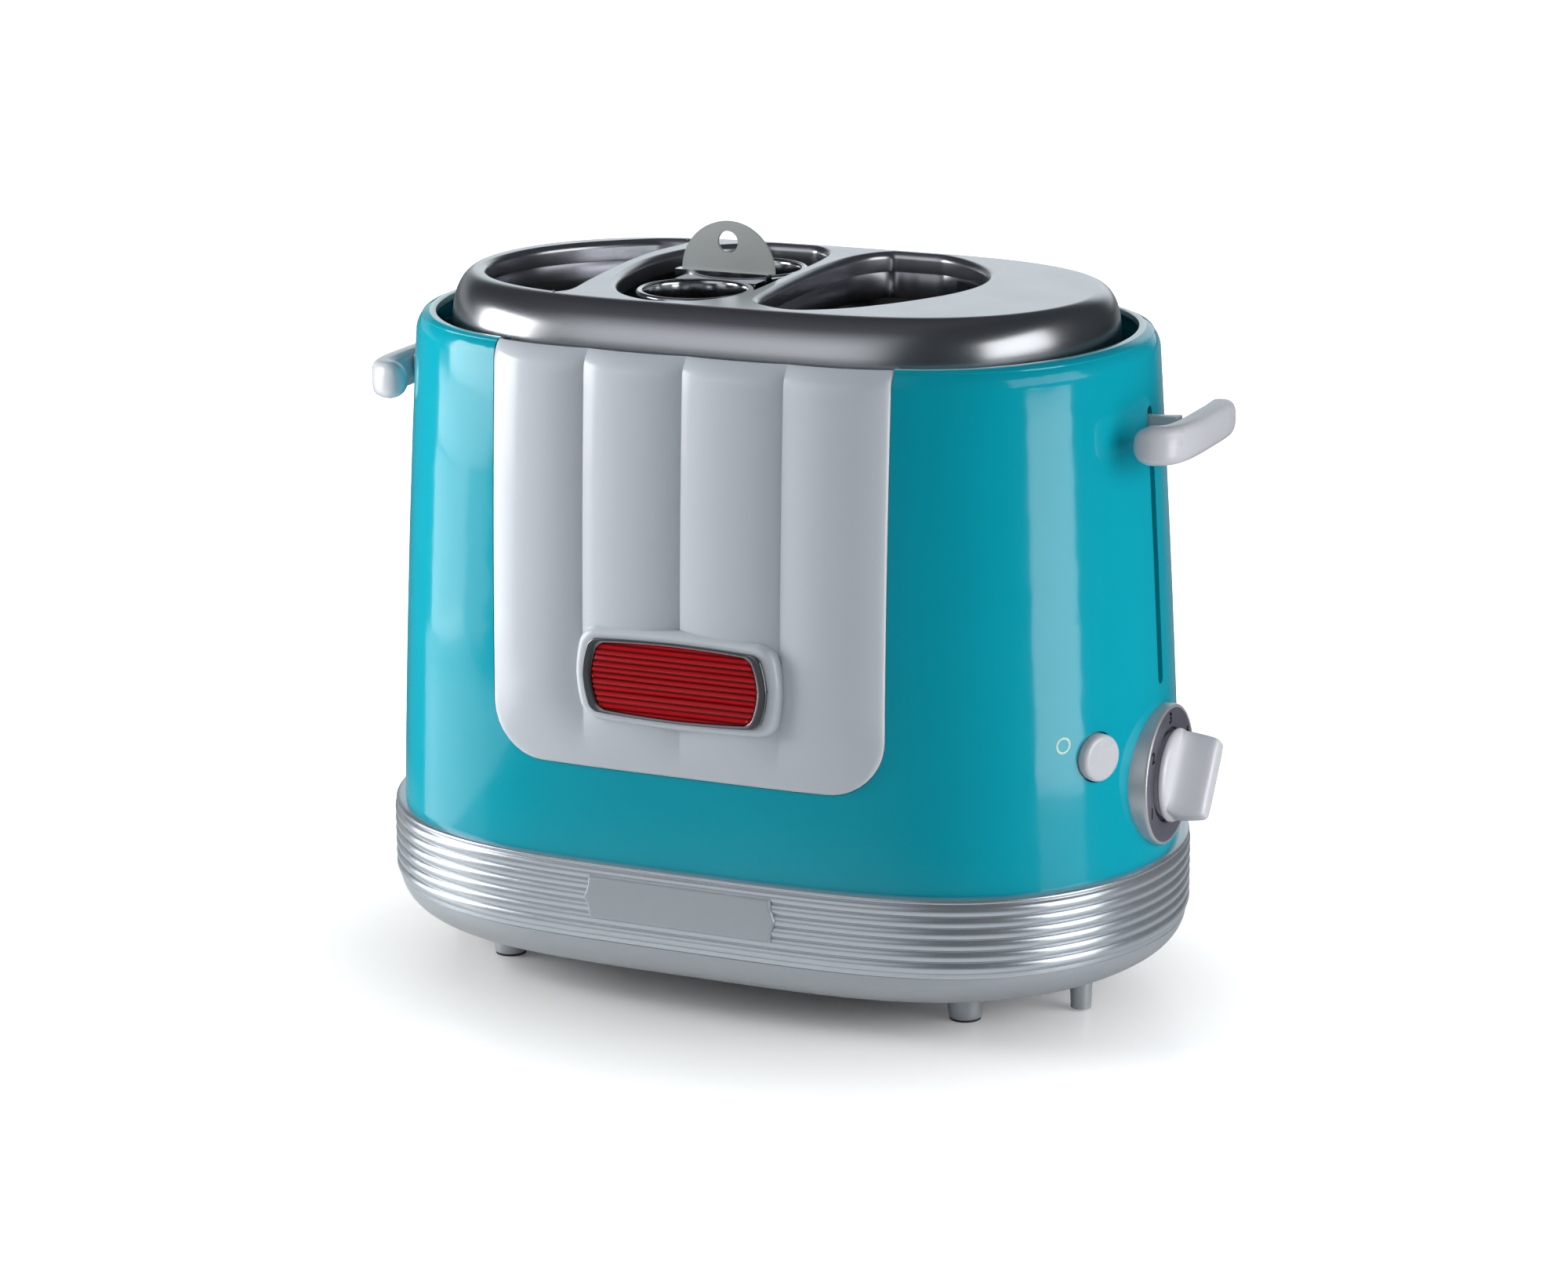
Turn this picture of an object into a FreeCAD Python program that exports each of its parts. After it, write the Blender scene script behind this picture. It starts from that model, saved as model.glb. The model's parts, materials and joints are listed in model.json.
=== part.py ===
import FreeCAD, Part
import math
import os
from FreeCAD import Vector

os.makedirs("parts", exist_ok=True)

# Pop-up toaster for sausages and buns. Lengths are in millimetres.
# The body is centred on X = 0 while it is modelled: +X is the control end, -Y the
# front and Z = 0 the surface that the feet stand on. Every solid is then shifted by
# the same step, so that the origin is the centre of the whole footprint.

# ---- driving dimensions: housing ---------------------------------------------
shell_bottom_z = 48.0
shell_top_z = 210.0
shell_bottom_half_x = 130.0
shell_bottom_half_y = 78.2
shell_top_half_x = 121.0
shell_top_half_y = 72.6
shell_bulge_x = 0.45
shell_bulge_y = 1.6
shell_wall = 2.8
shell_rim_radius = 8.0
outline_power_x = 3.75
outline_power_y = 1.88

# ---- front panel and badge ---------------------------------------------------
panel_half_width = 66.5
panel_bottom_z = 78.0
panel_corner_radius = 18.0
flute_count = 4
flute_crest = 2.8
flute_valley = 0.5
badge_z = 109.2
badge_half_width = 31.0
badge_half_height = 12.5
badge_side_bow = 2.7
badge_top_bow = 1.0
badge_rim = 2.4
badge_boss_margin = 3.2
badge_boss_proud = 3.2
badge_frame_proud = 5.8
badge_insert_proud = 4.6
badge_rib_count = 11
badge_corner_radius = 2.2

# ---- base ---------------------------------------------------------------------
band_step_x = 2.2
band_step_y = 2.0
band_bottom_z = 22.5
band_wall = 5.0
band_edge_height = 1.75
rib_count = 6
rib_pitch = 3.62
rib_height = 0.9
plate_half_width = 31.0
plate_tip = 1.8
plate_bottom_z = 30.0
plate_top_z = 43.8
plate_proud = 1.6
plate_seat_depth = 1.2
pan_bottom_z = 9.5
pan_wall = 2.5
foot_inset_x = 52.4
foot_inset_y = 37.5
foot_radius = 5.8
foot_pad_height = 0.8
foot_pad_radius = 4.9
peg_inset = 22.2
peg_y = 21.0
peg_bottom_radius = 3.2
peg_top_radius = 4.2
peg_lift = 0.8
post_radius = 4.6
post_left_inset = 32.2
post_left_y = 30.0
post_right_inset = 34.2
post_right_y = 34.0
screw_radius = 1.5
screw_head_radius = 3.0
screw_head_height = 1.8
screw_clearance = 0.05

# ---- top cover ------------------------------------------------------------------
cover_rise = 11.2
cover_drop = 7.0
cover_sheet = 0.8
cover_inset_x = 12.2
cover_inset_y = 6.4
cover_shoulder_x = 7.3
cover_shoulder_y = 11.7
cover_power_x = 3.8
cover_power_y = 1.9
lip_depth = 5.5

# ---- oven chamber ----------------------------------------------------------------
chassis_z = 35.0
chassis_sheet = 1.2
shield_inset = 15.0
shield_sheet = 0.8
shield_left_x = -72.0
control_bay = 37.0
chamber_arm_gap = 5.0
arm_slot_height = 88.0
left_bun_clearance = 9.0
left_bun_margin = 1.0
right_bun_x = 8.5
right_bun_clearance = 7.5
liner_clearance = 2.0
liner_sheet = 0.7
liner_drop = 6.7
heater_left_x = -56.0
heater_right_x = 2.6
heater_board = 1.0
heater_bottom_z = 52.0
heater_drop = 16.2
heater_notch = 3.2
winding_sheet = 0.35
winding_height = 2.4
winding_pitch = 13.0
winding_margin = 7.0

# ---- carriage ----------------------------------------------------------------------
travel = 72.0
crossbar_drop = 63.6
crossbar_height = 8.0
crossbar_thickness = 2.0
lift_plate_inset = 14.0
lift_plate_base_inset = 23.0
lift_plate_sheet = 1.4
lift_plate_front = 7.0
lift_plate_rise = 11.4
handle_overhang = 20.3
handle_farthest_y = 17.8
handle_curve_radius = 119.0
handle_front_y = -28.5
handle_rear_y = 31.2
handle_thickness = 8.4
handle_drop = 34.4
handle_height = 12.0
handle_edge_radius = 3.0
stem_thickness = 2.8
slot_width = 4.0
slot_clearance = 1.6
rod_radius = 2.5
rod_y = 12.0
bush_clearance = 0.05
bush_size = 9.6
bush_height = 14.0
bush_drop = 18.6
rod_bracket_drop = 10.0
bracket_sheet = 1.2
rack_bar = 2.4
spring_turns = 9
spring_wire_radius = 0.5
rack_sheet = 1.2

# ---- sausage cage --------------------------------------------------------------------
cage_x = -20.8
hole_y = 20.6
ring_radius = 18.0
basket_radius = 17.2
basket_sheet = 0.6
cage_plate_drop = 2.2
cage_plate_sheet = 1.4
cage_bridge_rise = 0.1
basket_clearance = 0.3
saddle_sheet = 1.5
tab_radius = 16.0
tab_sheet = 1.2
tab_hole_radius = 3.5
tab_hole_height = 9.4

# ---- controls ------------------------------------------------------------------------
knob_y = -0.6
knob_z = 73.3
dial_radius = 22.2
dial_proud = 2.372
dial_depth = 6.8
knob_radius = 14.8
knob_disc_proud = 3.4
knob_proud = 14.4
knob_gap = 0.4
grip_width = 9.6
grip_end_width = 6.6
grip_angle = 58.0
shaft_radius = 3.0
shaft_clearance = 0.05
pot_depth = 9.0
pot_half = 9.5
button_y = -35.2
button_z = 87.0
button_radius = 7.4
button_hole_radius = 7.85
button_proud = 2.6
button_travel = 2.0
button_depth = 8.0
switch_depth = 7.0
guide_wall = 1.5
fit_gap = 0.1

# ---- crumb tray and rear ---------------------------------------------------------------
tray_left_x = -80.0
tray_right_x = 40.0
tray_front_inset = 28.2
rail_rear_inset = 22.2
tray_z = 26.0
tray_sheet = 1.0
tray_height = 6.4
tray_lip_wall = 3.0
tray_slot_gap = 0.4
tray_pull = 2.4
rail_width = 3.0
rail_gap = 0.3
gland_offset = 18.0
gland_z = 34.0
gland_radius = 5.5
gland_bore_radius = 3.4
gland_flange_radius = 8.0
gland_length = 14.0

# ---- worked-out values --------------------------------------------------------------------
band_half_x = shell_bottom_half_x + band_step_x
band_half_y = shell_bottom_half_y + band_step_y
foot_x = band_half_x - foot_inset_x
foot_y = band_half_y - foot_inset_y
peg_x = band_half_x - peg_inset
post_left_x = band_half_x - post_left_inset
post_right_x = band_half_x - post_right_inset
tray_front_y = -(band_half_y - tray_front_inset)
cover_z = shell_top_z + cover_rise
cover_bottom_z = shell_top_z - cover_drop
cover_half_x = shell_top_half_x - cover_inset_x
cover_half_y = shell_top_half_y - cover_inset_y
cover_flat_half_x = cover_half_x - cover_shoulder_x
cover_flat_half_y = cover_half_y - cover_shoulder_y
shield_y = shell_top_half_y - shield_inset
lift_plate_x = min(shell_top_half_x - lift_plate_inset, shell_bottom_half_x - lift_plate_base_inset)
handle_reach = shell_top_half_x + handle_overhang
handle_bottom_z = shell_top_z - handle_drop
lift_plate_top_z = handle_bottom_z + lift_plate_rise
crossbar_z = handle_bottom_z - crossbar_drop
bush_z = handle_bottom_z - bush_drop
rod_bracket_z = shell_top_z - rod_bracket_drop
end_plate_x = lift_plate_x - control_bay
gland_x = end_plate_x + gland_offset
left_bun_radius = cover_flat_half_y - left_bun_margin
left_bun_x = left_bun_radius - (lift_plate_x - left_bun_clearance)
right_bun_radius = end_plate_x - right_bun_x - right_bun_clearance
liner_top_z = cover_z - liner_drop
heater_top_z = cover_z - heater_drop
cage_plate_z = cover_z - cage_plate_drop
cage_bridge_z = cover_z + cage_bridge_rise
chassis_top_z = chassis_z + chassis_sheet
crossbar_top_z = crossbar_z + crossbar_height
basket_bottom_z = crossbar_top_z + saddle_sheet + basket_clearance
slot_bottom_z = handle_bottom_z - travel - slot_clearance
slot_top_z = handle_bottom_z + handle_height + slot_clearance
left_liner_radius = left_bun_radius + liner_clearance
right_liner_radius = right_bun_radius + liner_clearance


def mirrored(shape):
    """The same shape on the other side of the plane X = 0."""
    return shape.mirror(Vector(0, 0, 0), Vector(1, 0, 0))


def box(low, high):
    """A box between two corners."""
    size = [high[i] - low[i] for i in range(3)]
    return Part.makeBox(size[0], size[1], size[2], Vector(*low))


def cylinder(radius, low_z, high_z, x, y):
    """An upright cylinder."""
    return Part.makeCylinder(radius, high_z - low_z, Vector(x, y, low_z))


def tube(radius, bore, low_z, high_z, x, y):
    """An upright cylinder with a bore."""
    return cylinder(radius, low_z, high_z, x, y).cut(cylinder(bore, low_z - 1, high_z + 1, x, y))


def outline(half_x, half_y, z, power_x=outline_power_x, power_y=outline_power_y, count=48):
    """A closed smooth curve |x/a|^p + |y/b|^q = 1 at height z."""
    points = []
    for index in range(count):
        angle = 2 * math.pi * index / count
        cos_a = math.cos(angle)
        sin_a = math.sin(angle)
        x = half_x * math.copysign(abs(cos_a) ** (2 / power_x), cos_a)
        y = half_y * math.copysign(abs(sin_a) ** (2 / power_y), sin_a)
        points.append(Vector(x, y, z))
    curve = Part.BSplineCurve()
    curve.interpolate(Points=points, PeriodicFlag=True)
    return Part.Wire([curve.toShape()])


def oval_prism(half_x, half_y, low_z, high_z, power_x=outline_power_x, power_y=outline_power_y):
    """A straight block with a housing outline."""
    face = Part.Face(outline(half_x, half_y, low_z, power_x, power_y))
    return face.extrude(Vector(0, 0, high_z - low_z))


def shell_half_sizes(z):
    """Half length and half depth of the housing at a height."""
    share = (z - shell_bottom_z) / (shell_top_z - shell_bottom_z)
    bulge = 4 * share * (1 - share)
    half_x = shell_bottom_half_x + (shell_top_half_x - shell_bottom_half_x) * share + shell_bulge_x * bulge
    half_y = shell_bottom_half_y + (shell_top_half_y - shell_bottom_half_y) * share + shell_bulge_y * bulge
    return half_x, half_y


def shell_loft(grow, low_z, high_z, steps=5):
    """The solid inside the housing wall, grown outwards by a margin."""
    wires = []
    for index in range(steps):
        z = low_z + (high_z - low_z) * index / (steps - 1)
        half_x, half_y = shell_half_sizes(z)
        wires.append(outline(half_x + grow, half_y + grow, z))
    return Part.makeLoft(wires, True, False)


def rim_inset(z):
    """How far the rounded rim has turned in at a height."""
    start = shell_top_z - shell_rim_radius
    if z <= start:
        return 0.0
    rise = min(z - start, shell_rim_radius)
    return shell_rim_radius - math.sqrt(shell_rim_radius ** 2 - rise ** 2)


def wall_y(x, z):
    """Depth of the front wall from the middle plane, at a place along X."""
    half_x, half_y = shell_half_sizes(z)
    return half_y * (1 - abs(x / half_x) ** outline_power_x) ** (1 / outline_power_y)


def wall_x(y, z):
    """Distance of the end wall from the middle, at a place along Y."""
    half_x, half_y = shell_half_sizes(z)
    return half_x * (1 - abs(y / half_y) ** outline_power_y) ** (1 / outline_power_x)


dial_face_x = wall_x(knob_y, knob_z) + dial_proud
knob_face_x = dial_face_x + knob_disc_proud
knob_reach = dial_face_x + knob_proud
origin_shift = Vector(-(knob_reach - handle_reach) / 2.0, 0, 0)


def smooth_outline(points, z):
    """A closed smooth curve through chosen corner points."""
    curve = Part.BSplineCurve()
    curve.interpolate(Points=[Vector(x, y, z) for x, y in points], PeriodicFlag=True)
    return Part.Wire([curve.toShape()])


def grown(points, margin):
    """The points moved outwards along the normal of their own outline."""
    result = []
    for index, (x, y) in enumerate(points):
        before = points[index - 1]
        after = points[(index + 1) % len(points)]
        along = Vector(after[0] - before[0], after[1] - before[1], 0).normalize()
        result.append((x + along.y * margin, y - along.x * margin))
    return result


def point_prism(points, low_z, high_z):
    """A straight block whose outline runs through points."""
    face = Part.Face(smooth_outline(points, low_z))
    return face.extrude(Vector(0, 0, high_z - low_z))


def barrel(half_width, half_height, side_bow, top_bow, center_z, near_y, far_y, corner):
    """A plate with four bowed sides and round corners, facing along Y."""
    corners = [(-half_width + side_bow, -half_height + top_bow), (half_width - side_bow, -half_height + top_bow),
               (half_width - side_bow, half_height - top_bow), (-half_width + side_bow, half_height - top_bow)]
    middles = [(0, -half_height), (half_width, 0), (0, half_height), (-half_width, 0)]
    edges = []
    for index, (x, z) in enumerate(corners):
        ahead = corners[(index + 1) % 4]
        start = Vector(x, near_y, center_z + z)
        middle = Vector(middles[index][0], near_y, center_z + middles[index][1])
        end = Vector(ahead[0], near_y, center_z + ahead[1])
        edges.append(Part.Arc(start, middle, end).toShape())
    solid = Part.Face(Part.Wire(edges)).extrude(Vector(0, far_y - near_y, 0))
    upright = [edge for edge in solid.Edges if abs(edge.tangentAt(edge.FirstParameter).y) > 0.99]
    return solid.makeFillet(corner, upright)


def save(name, shape):
    """Write one sub-part in the frame of the whole object."""
    solids = shape.Solids
    placed = solids[0] if len(solids) == 1 else Part.makeCompound(solids)
    placed = placed.copy()
    placed.translate(origin_shift)
    placed.exportStep("parts/" + name + ".step")
    print(f"{name}: {len(solids)} solid(s), {placed.Volume / 1000:.2f} cm3, valid {placed.isValid()}")


def lever_slot(side):
    """The upright slot that a lever's stem runs in, with round ends."""
    reach = shell_bottom_half_x + 10
    inside = side * (shell_top_half_x - 20)
    outside = side * reach
    near, far = min(inside, outside), max(inside, outside)
    half = slot_width / 2
    body = box((near, -half, slot_bottom_z + half), (far, half, slot_top_z - half))
    for z in (slot_bottom_z + half, slot_top_z - half):
        body = body.fuse(Part.makeCylinder(half, far - near, Vector(near, 0, z), Vector(1, 0, 0)))
    return body


def panel_prism(margin):
    """The front panel's outline, run from front to back: round below and open above."""
    half = panel_half_width + margin
    low = panel_bottom_z - margin
    solid = box((-half, -shell_bottom_half_y - 20, low), (half, -shell_top_half_y / 2, shell_top_z + 10))
    corners = [edge for edge in solid.Edges
               if abs(edge.tangentAt(edge.FirstParameter).y) > 0.99 and edge.CenterOfMass.z < low + 1]
    return solid.makeFillet(panel_corner_radius, corners)


def button_frame():
    """Centre of the button on the wall, and the wall's outward direction there."""
    half_x, half_y = shell_half_sizes(button_z)
    x = wall_x(button_y, button_z)
    across = outline_power_x / half_x * (x / half_x) ** (outline_power_x - 1)
    along = outline_power_y / half_y * abs(button_y / half_y) ** (outline_power_y - 1)
    normal = Vector(across, -along, 0).normalize()
    return Vector(x, button_y, button_z), normal


button_center, button_normal = button_frame()


def on_button_axis(radius, start, length):
    """A cylinder on the button's axis; start is measured outwards from the wall."""
    return Part.makeCylinder(radius, length, button_center + button_normal * start, button_normal)


def swept(spine, edges):
    """A closed section swept round a level outline, as one solid."""
    pipe = Part.BRepOffsetAPI.MakePipeShell(spine)
    pipe.setBiNormalMode(Vector(0, 0, 1))
    pipe.add(Part.Wire(edges))
    pipe.build()
    pipe.makeSolid()
    solid = Part.Solid(pipe.shape())
    if solid.Volume < 0:
        solid.reverse()
    return solid


def chain(points):
    """Straight edges through a row of points."""
    return [Part.LineSegment(first, second).toShape() for first, second in zip(points[:-1], points[1:])]


# ---- housing ------------------------------------------------------------------------------
def shell_rim(low):
    """The rounded rim of the housing: a quarter round outside and the wall's face inside."""
    half_x, half_y = shell_half_sizes(low)
    spine = outline(half_x, half_y, low)
    center = half_x - shell_rim_radius
    inner = half_x - shell_wall
    rise = math.sqrt(shell_rim_radius ** 2 - (inner - center) ** 2)
    half_turn = math.atan2(rise, inner - center) / 2
    middle = Vector(center + shell_rim_radius * math.cos(half_turn), 0, low + shell_rim_radius * math.sin(half_turn))
    corners = [Vector(half_x, 0, low), Vector(inner, 0, low), Vector(inner, 0, low + rise)]
    arc = Part.Arc(corners[2], middle, corners[0]).toShape()
    return swept(spine, chain(corners) + [arc])


def body_shell():
    """The coloured housing with its panel opening, lever slots and control holes."""
    rim_start = shell_top_z - shell_rim_radius
    wall = shell_loft(0, shell_bottom_z, rim_start)
    wall = wall.cut(shell_loft(-shell_wall, shell_bottom_z - 1, rim_start + 1))
    wall = wall.cut(panel_prism(0)).cut(lever_slot(1)).cut(lever_slot(-1))
    dial_hole = Part.makeCylinder(dial_radius, 40, Vector(shell_bottom_half_x - 25, knob_y, knob_z),
                                  Vector(1, 0, 0))
    wall = wall.cut(dial_hole).cut(on_button_axis(button_hole_radius, -shell_wall - 4, shell_wall + 8))
    return Part.makeCompound([wall, shell_rim(rim_start).cut(panel_prism(0))])


def fluted_section(z, crest, valley):
    """The panel's cross-section at a height: bowed flutes in front, the inner wall behind."""
    half = panel_half_width + 0.1
    turned_in = rim_inset(z)
    nodes = [-half + 2 * half * index / flute_count for index in range(flute_count + 1)]
    edges = []
    for start, end in zip(nodes[:-1], nodes[1:]):
        middle = (start + end) / 2
        edges.append(Part.Arc(Vector(start, -wall_y(start, z) - valley + turned_in, z),
                              Vector(middle, -wall_y(middle, z) - crest + turned_in, z),
                              Vector(end, -wall_y(end, z) - valley + turned_in, z)).toShape())
    back = [Vector(x, -wall_y(x, z) + max(shell_wall, turned_in + 1.0), z) for x in (half, 0, -half)]
    edges.append(Part.LineSegment(edges[-1].Vertexes[-1].Point, back[0]).toShape())
    edges.append(Part.Arc(*back).toShape())
    edges.append(Part.LineSegment(back[2], edges[0].Vertexes[0].Point).toShape())
    return Part.Wire(edges)


def front_panel():
    """The white insert with four upright flutes that fade out towards its lower edge."""
    rim_start = shell_top_z - shell_rim_radius
    height = rim_start - panel_bottom_z
    levels = [(-0.03, 1.0, 0.8), (0.1, 1.9, 0.7), (0.24, flute_crest - 0.2, flute_valley),
              (0.5, flute_crest, flute_valley), (0.75, flute_crest, flute_valley),
              (1.0, flute_crest - 0.2, flute_valley)]
    sections = [fluted_section(panel_bottom_z + height * share, crest, valley) for share, crest, valley in levels]
    panel = Part.makeLoft(sections, True, False).common(panel_prism(0))
    rim = [fluted_section(rim_start + step, flute_crest - 0.2 - step / 8, flute_valley - step / 24)
           for step in (0, 1.8, 3.6, 5.4, 7.2)]
    rim = Part.makeLoft(rim, True, False).common(panel_prism(0))
    wall = wall_y(0, badge_z)
    boss = barrel(badge_half_width + badge_boss_margin, badge_half_height + badge_boss_margin, badge_side_bow,
                  badge_top_bow, badge_z, -wall + 1, -wall - badge_boss_proud, 2 * badge_corner_radius)
    return Part.makeCompound([panel.fuse(boss).removeSplitter(), rim])


badge_seat_y = -wall_y(0, badge_z) - badge_boss_proud


def badge_plate(margin, near_y, far_y):
    """A plate inside the badge's outline."""
    return barrel(badge_half_width - margin, badge_half_height - margin, badge_side_bow, badge_top_bow,
                  badge_z, near_y, far_y, badge_corner_radius)


def badge_frame():
    """The bright frame of the badge."""
    front = -wall_y(0, badge_z) - badge_frame_proud
    return badge_plate(0, badge_seat_y, front).cut(badge_plate(badge_rim, badge_seat_y + 1, front - 1))


def badge_insert():
    """The translucent badge plate with level ribs."""
    front = -wall_y(0, badge_z) - badge_insert_proud
    plate = badge_plate(badge_rim + fit_gap, badge_seat_y, front)
    ribs = badge_plate(badge_rim + fit_gap, front, front - 0.5)
    pitch = 2 * (badge_half_height - badge_rim) / badge_rib_count
    low = badge_z - badge_half_height + badge_rim
    for index in range(badge_rib_count + 1):
        z = low + pitch * index
        ribs = ribs.cut(box((-badge_half_width, front - 1, z - 0.3), (badge_half_width, front, z + 0.3)))
    return plate.fuse(ribs).removeSplitter()


def base_band():
    """The ribbed band round the foot of the housing."""
    levels = [(band_bottom_z, 0), (band_bottom_z + band_edge_height, 0)]
    for index in range(rib_count):
        low = band_bottom_z + band_edge_height + rib_pitch * index
        levels += [(low + 0.2 * rib_pitch, 0.75), (low + 0.5 * rib_pitch, 1), (low + 0.8 * rib_pitch, 0.75),
                   (low + rib_pitch, 0)]
    levels.append((shell_bottom_z, 0))
    wires = [outline(band_half_x + share * rib_height, band_half_y + share * rib_height, z) for z, share in levels]
    band = Part.makeLoft(wires, True, True)
    band = band.cut(oval_prism(band_half_x - band_wall, band_half_y - band_wall, band_bottom_z - 1,
                               shell_bottom_z + 1))
    seat = plate_seat_y + plate_seat_depth
    band = band.cut(name_plate_block(seat, -band_half_y - 5))
    band = band.cut(box((tray_left_x - tray_slot_gap, 0, tray_z - tray_slot_gap - tray_sheet),
                        (tray_right_x + tray_slot_gap, band_half_y + 5, tray_z + tray_height + tray_slot_gap)))
    return band.cut(Part.makeCylinder(gland_radius, 60, Vector(gland_x, 30, gland_z), Vector(0, 1, 0)))


plate_seat_y = -band_half_y


def name_plate_block(near_y, far_y):
    """The plate's outline with brace-shaped ends, between two depths."""
    middle_z = (plate_bottom_z + plate_top_z) / 2
    quarter = (plate_top_z - plate_bottom_z) / 4
    edges = [Part.LineSegment(Vector(-plate_half_width, near_y, plate_bottom_z),
                              Vector(plate_half_width, near_y, plate_bottom_z)).toShape()]
    for side, low, high in ((1, plate_bottom_z, plate_top_z), (-1, plate_top_z, plate_bottom_z)):
        bulge = side * (plate_half_width + 0.25 * plate_tip)
        tip = Vector(side * (plate_half_width + plate_tip), near_y, middle_z)
        step = quarter if high > low else -quarter
        edges.append(Part.Arc(Vector(side * plate_half_width, near_y, low),
                              Vector(bulge, near_y, low + step), tip).toShape())
        edges.append(Part.Arc(tip, Vector(bulge, near_y, high - step),
                              Vector(side * plate_half_width, near_y, high)).toShape())
        if side > 0:
            edges.append(Part.LineSegment(Vector(plate_half_width, near_y, plate_top_z),
                                          Vector(-plate_half_width, near_y, plate_top_z)).toShape())
    return Part.Face(Part.Wire(Part.__sortEdges__(edges))).extrude(Vector(0, far_y - near_y, 0))


def name_plate():
    """The blank plate let into the ribs at the front."""
    return name_plate_block(plate_seat_y + plate_seat_depth, plate_seat_y - plate_proud)


def pan_loft(inset, rise):
    """The bowl under the band."""
    top = (band_half_x - inset, band_half_y - inset, band_bottom_z + (0 if rise == 0 else 1))
    levels = [(0.82, 0.78, 0.0), (0.905, 0.885, 0.14), (0.96, 0.955, 0.38), (0.99, 0.988, 0.7)]
    height = band_bottom_z - pan_bottom_z
    wires = [outline((band_half_x - inset) * sx, (band_half_y - inset) * sy, pan_bottom_z + rise + height * sz)
             for sx, sy, sz in levels if sz == 0 or rise == 0 or sz < 0.75]
    wires.append(outline(*top))
    return Part.makeLoft(wires, True, False)


def post_places():
    """Centres of the four screw posts."""
    return [(-post_left_x, -post_left_y), (-post_left_x, post_left_y),
            (post_right_x, -post_right_y), (post_right_x, post_right_y)]


def base_pan():
    """The lower pan with screw posts and the rails that the crumb tray runs on."""
    pan = pan_loft(0, 0).cut(pan_loft(pan_wall, pan_wall))
    floor = pan_bottom_z + pan_wall
    for x, y in post_places():
        pan = pan.fuse(cylinder(post_radius, floor - 1, chassis_z, x, y))
    for x in (tray_left_x + rail_width / 2, tray_right_x - rail_width / 2):
        pan = pan.fuse(box((x - rail_width / 2, tray_front_y, floor - 1),
                           (x + rail_width / 2, band_half_y - rail_rear_inset, tray_z - rail_gap)))
    for x, y in post_places():
        pan = pan.cut(cylinder(screw_radius + screw_clearance, pan_bottom_z - 1, chassis_z + 1, x, y))
        pan = pan.cut(cylinder(screw_head_radius + screw_clearance, pan_bottom_z - 1,
                               pan_bottom_z + screw_head_height, x, y))
    return pan.removeSplitter()


def base_screws():
    """Four screws up through the pan's posts into the chassis."""
    head_top = pan_bottom_z + screw_head_height
    screws = []
    for x, y in post_places():
        head = cylinder(screw_head_radius, pan_bottom_z + 0.2, head_top, x, y)
        recess = box((x - 2, y - 0.4, pan_bottom_z), (x + 2, y + 0.4, pan_bottom_z + 1.0))
        shank = cylinder(screw_radius, pan_bottom_z + 1, chassis_z, x, y)
        screws.append(head.cut(recess).fuse(shank))
    return Part.makeCompound(screws)


def foot_places():
    """Centres of the four feet."""
    return [(sx * foot_x, sy * foot_y) for sx in (-1, 1) for sy in (-1, 1)]


def feet():
    """Four moulded feet."""
    return Part.makeCompound([Part.makeCone(foot_radius - 0.5, foot_radius, pan_bottom_z - foot_pad_height,
                                            Vector(x, y, foot_pad_height)) for x, y in foot_places()])


def foot_pads():
    """Four rubber pads under the feet."""
    return Part.makeCompound([cylinder(foot_pad_radius, 0, foot_pad_height, x, y) for x, y in foot_places()])


def cord_wrap_pegs():
    """Two tapered pegs near the front corners, to wind a lead round; their tops meet the bowl."""
    bowl = pan_loft(0, 0)
    pegs = []
    for side in (-1, 1):
        peg = Part.makeCone(peg_bottom_radius, peg_top_radius, band_bottom_z - peg_lift,
                            Vector(side * peg_x, -peg_y, peg_lift))
        pegs.append(peg.cut(bowl))
    return Part.makeCompound([max(peg.Solids, key=lambda s: s.Volume) for peg in pegs])


# ---- top cover --------------------------------------------------------------------------
left_opening = [(-57.5, -53.6), (-52.6, -46.5), (-55.2, -27), (-58.6, 2), (-59.0, 26), (-56.3, 42), (-57.5, 49.5),
                (-65, 46.6), (-76, 38.6), (-87, 27.6), (-95.3, 13), (-98.2, -3), (-95.8, -18), (-89.8, -31),
                (-80, -42.5), (-68, -50.8)]
cage_opening = [(-20, -52), (-8, -47.5), (-0.6, -35), (0.4, -20), (-0.8, 5), (-1.6, 28), (-5, 45), (-16, 53.5),
                (-30, 51), (-45, 38.5), (-51.6, 17), (-50.3, -5), (-44.5, -27), (-34, -44)]
right_opening = [(27, -49.8), (18, -47.6), (10.4, -41), (7.6, -24), (6.0, -4), (5.4, 18), (7.2, 38), (13.4, 50.4),
                 (24, 53.8), (37, 49.6), (49.5, 39.5), (59.0, 26), (62.4, 10), (60.6, -5), (55.6, -18),
                 (47.6, -32), (38, -43.4)]


def fitted(points, fixed_x, share_x):
    """An opening's points, stretched away from one X and to the depth of the cover."""
    share_y = cover_flat_half_y / opening_depth
    return [(fixed_x + (x - fixed_x) * share_x, y * share_y) for x, y in points]


opening_depth = 54.5
left_opening = fitted(left_opening, -55.0, (lift_plate_x - left_bun_clearance - 55.0) / 43.0)
cage_opening = fitted(cage_opening, cage_x, 1.0)
right_opening = fitted(right_opening, 5.4, right_bun_radius / 54.0)


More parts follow.
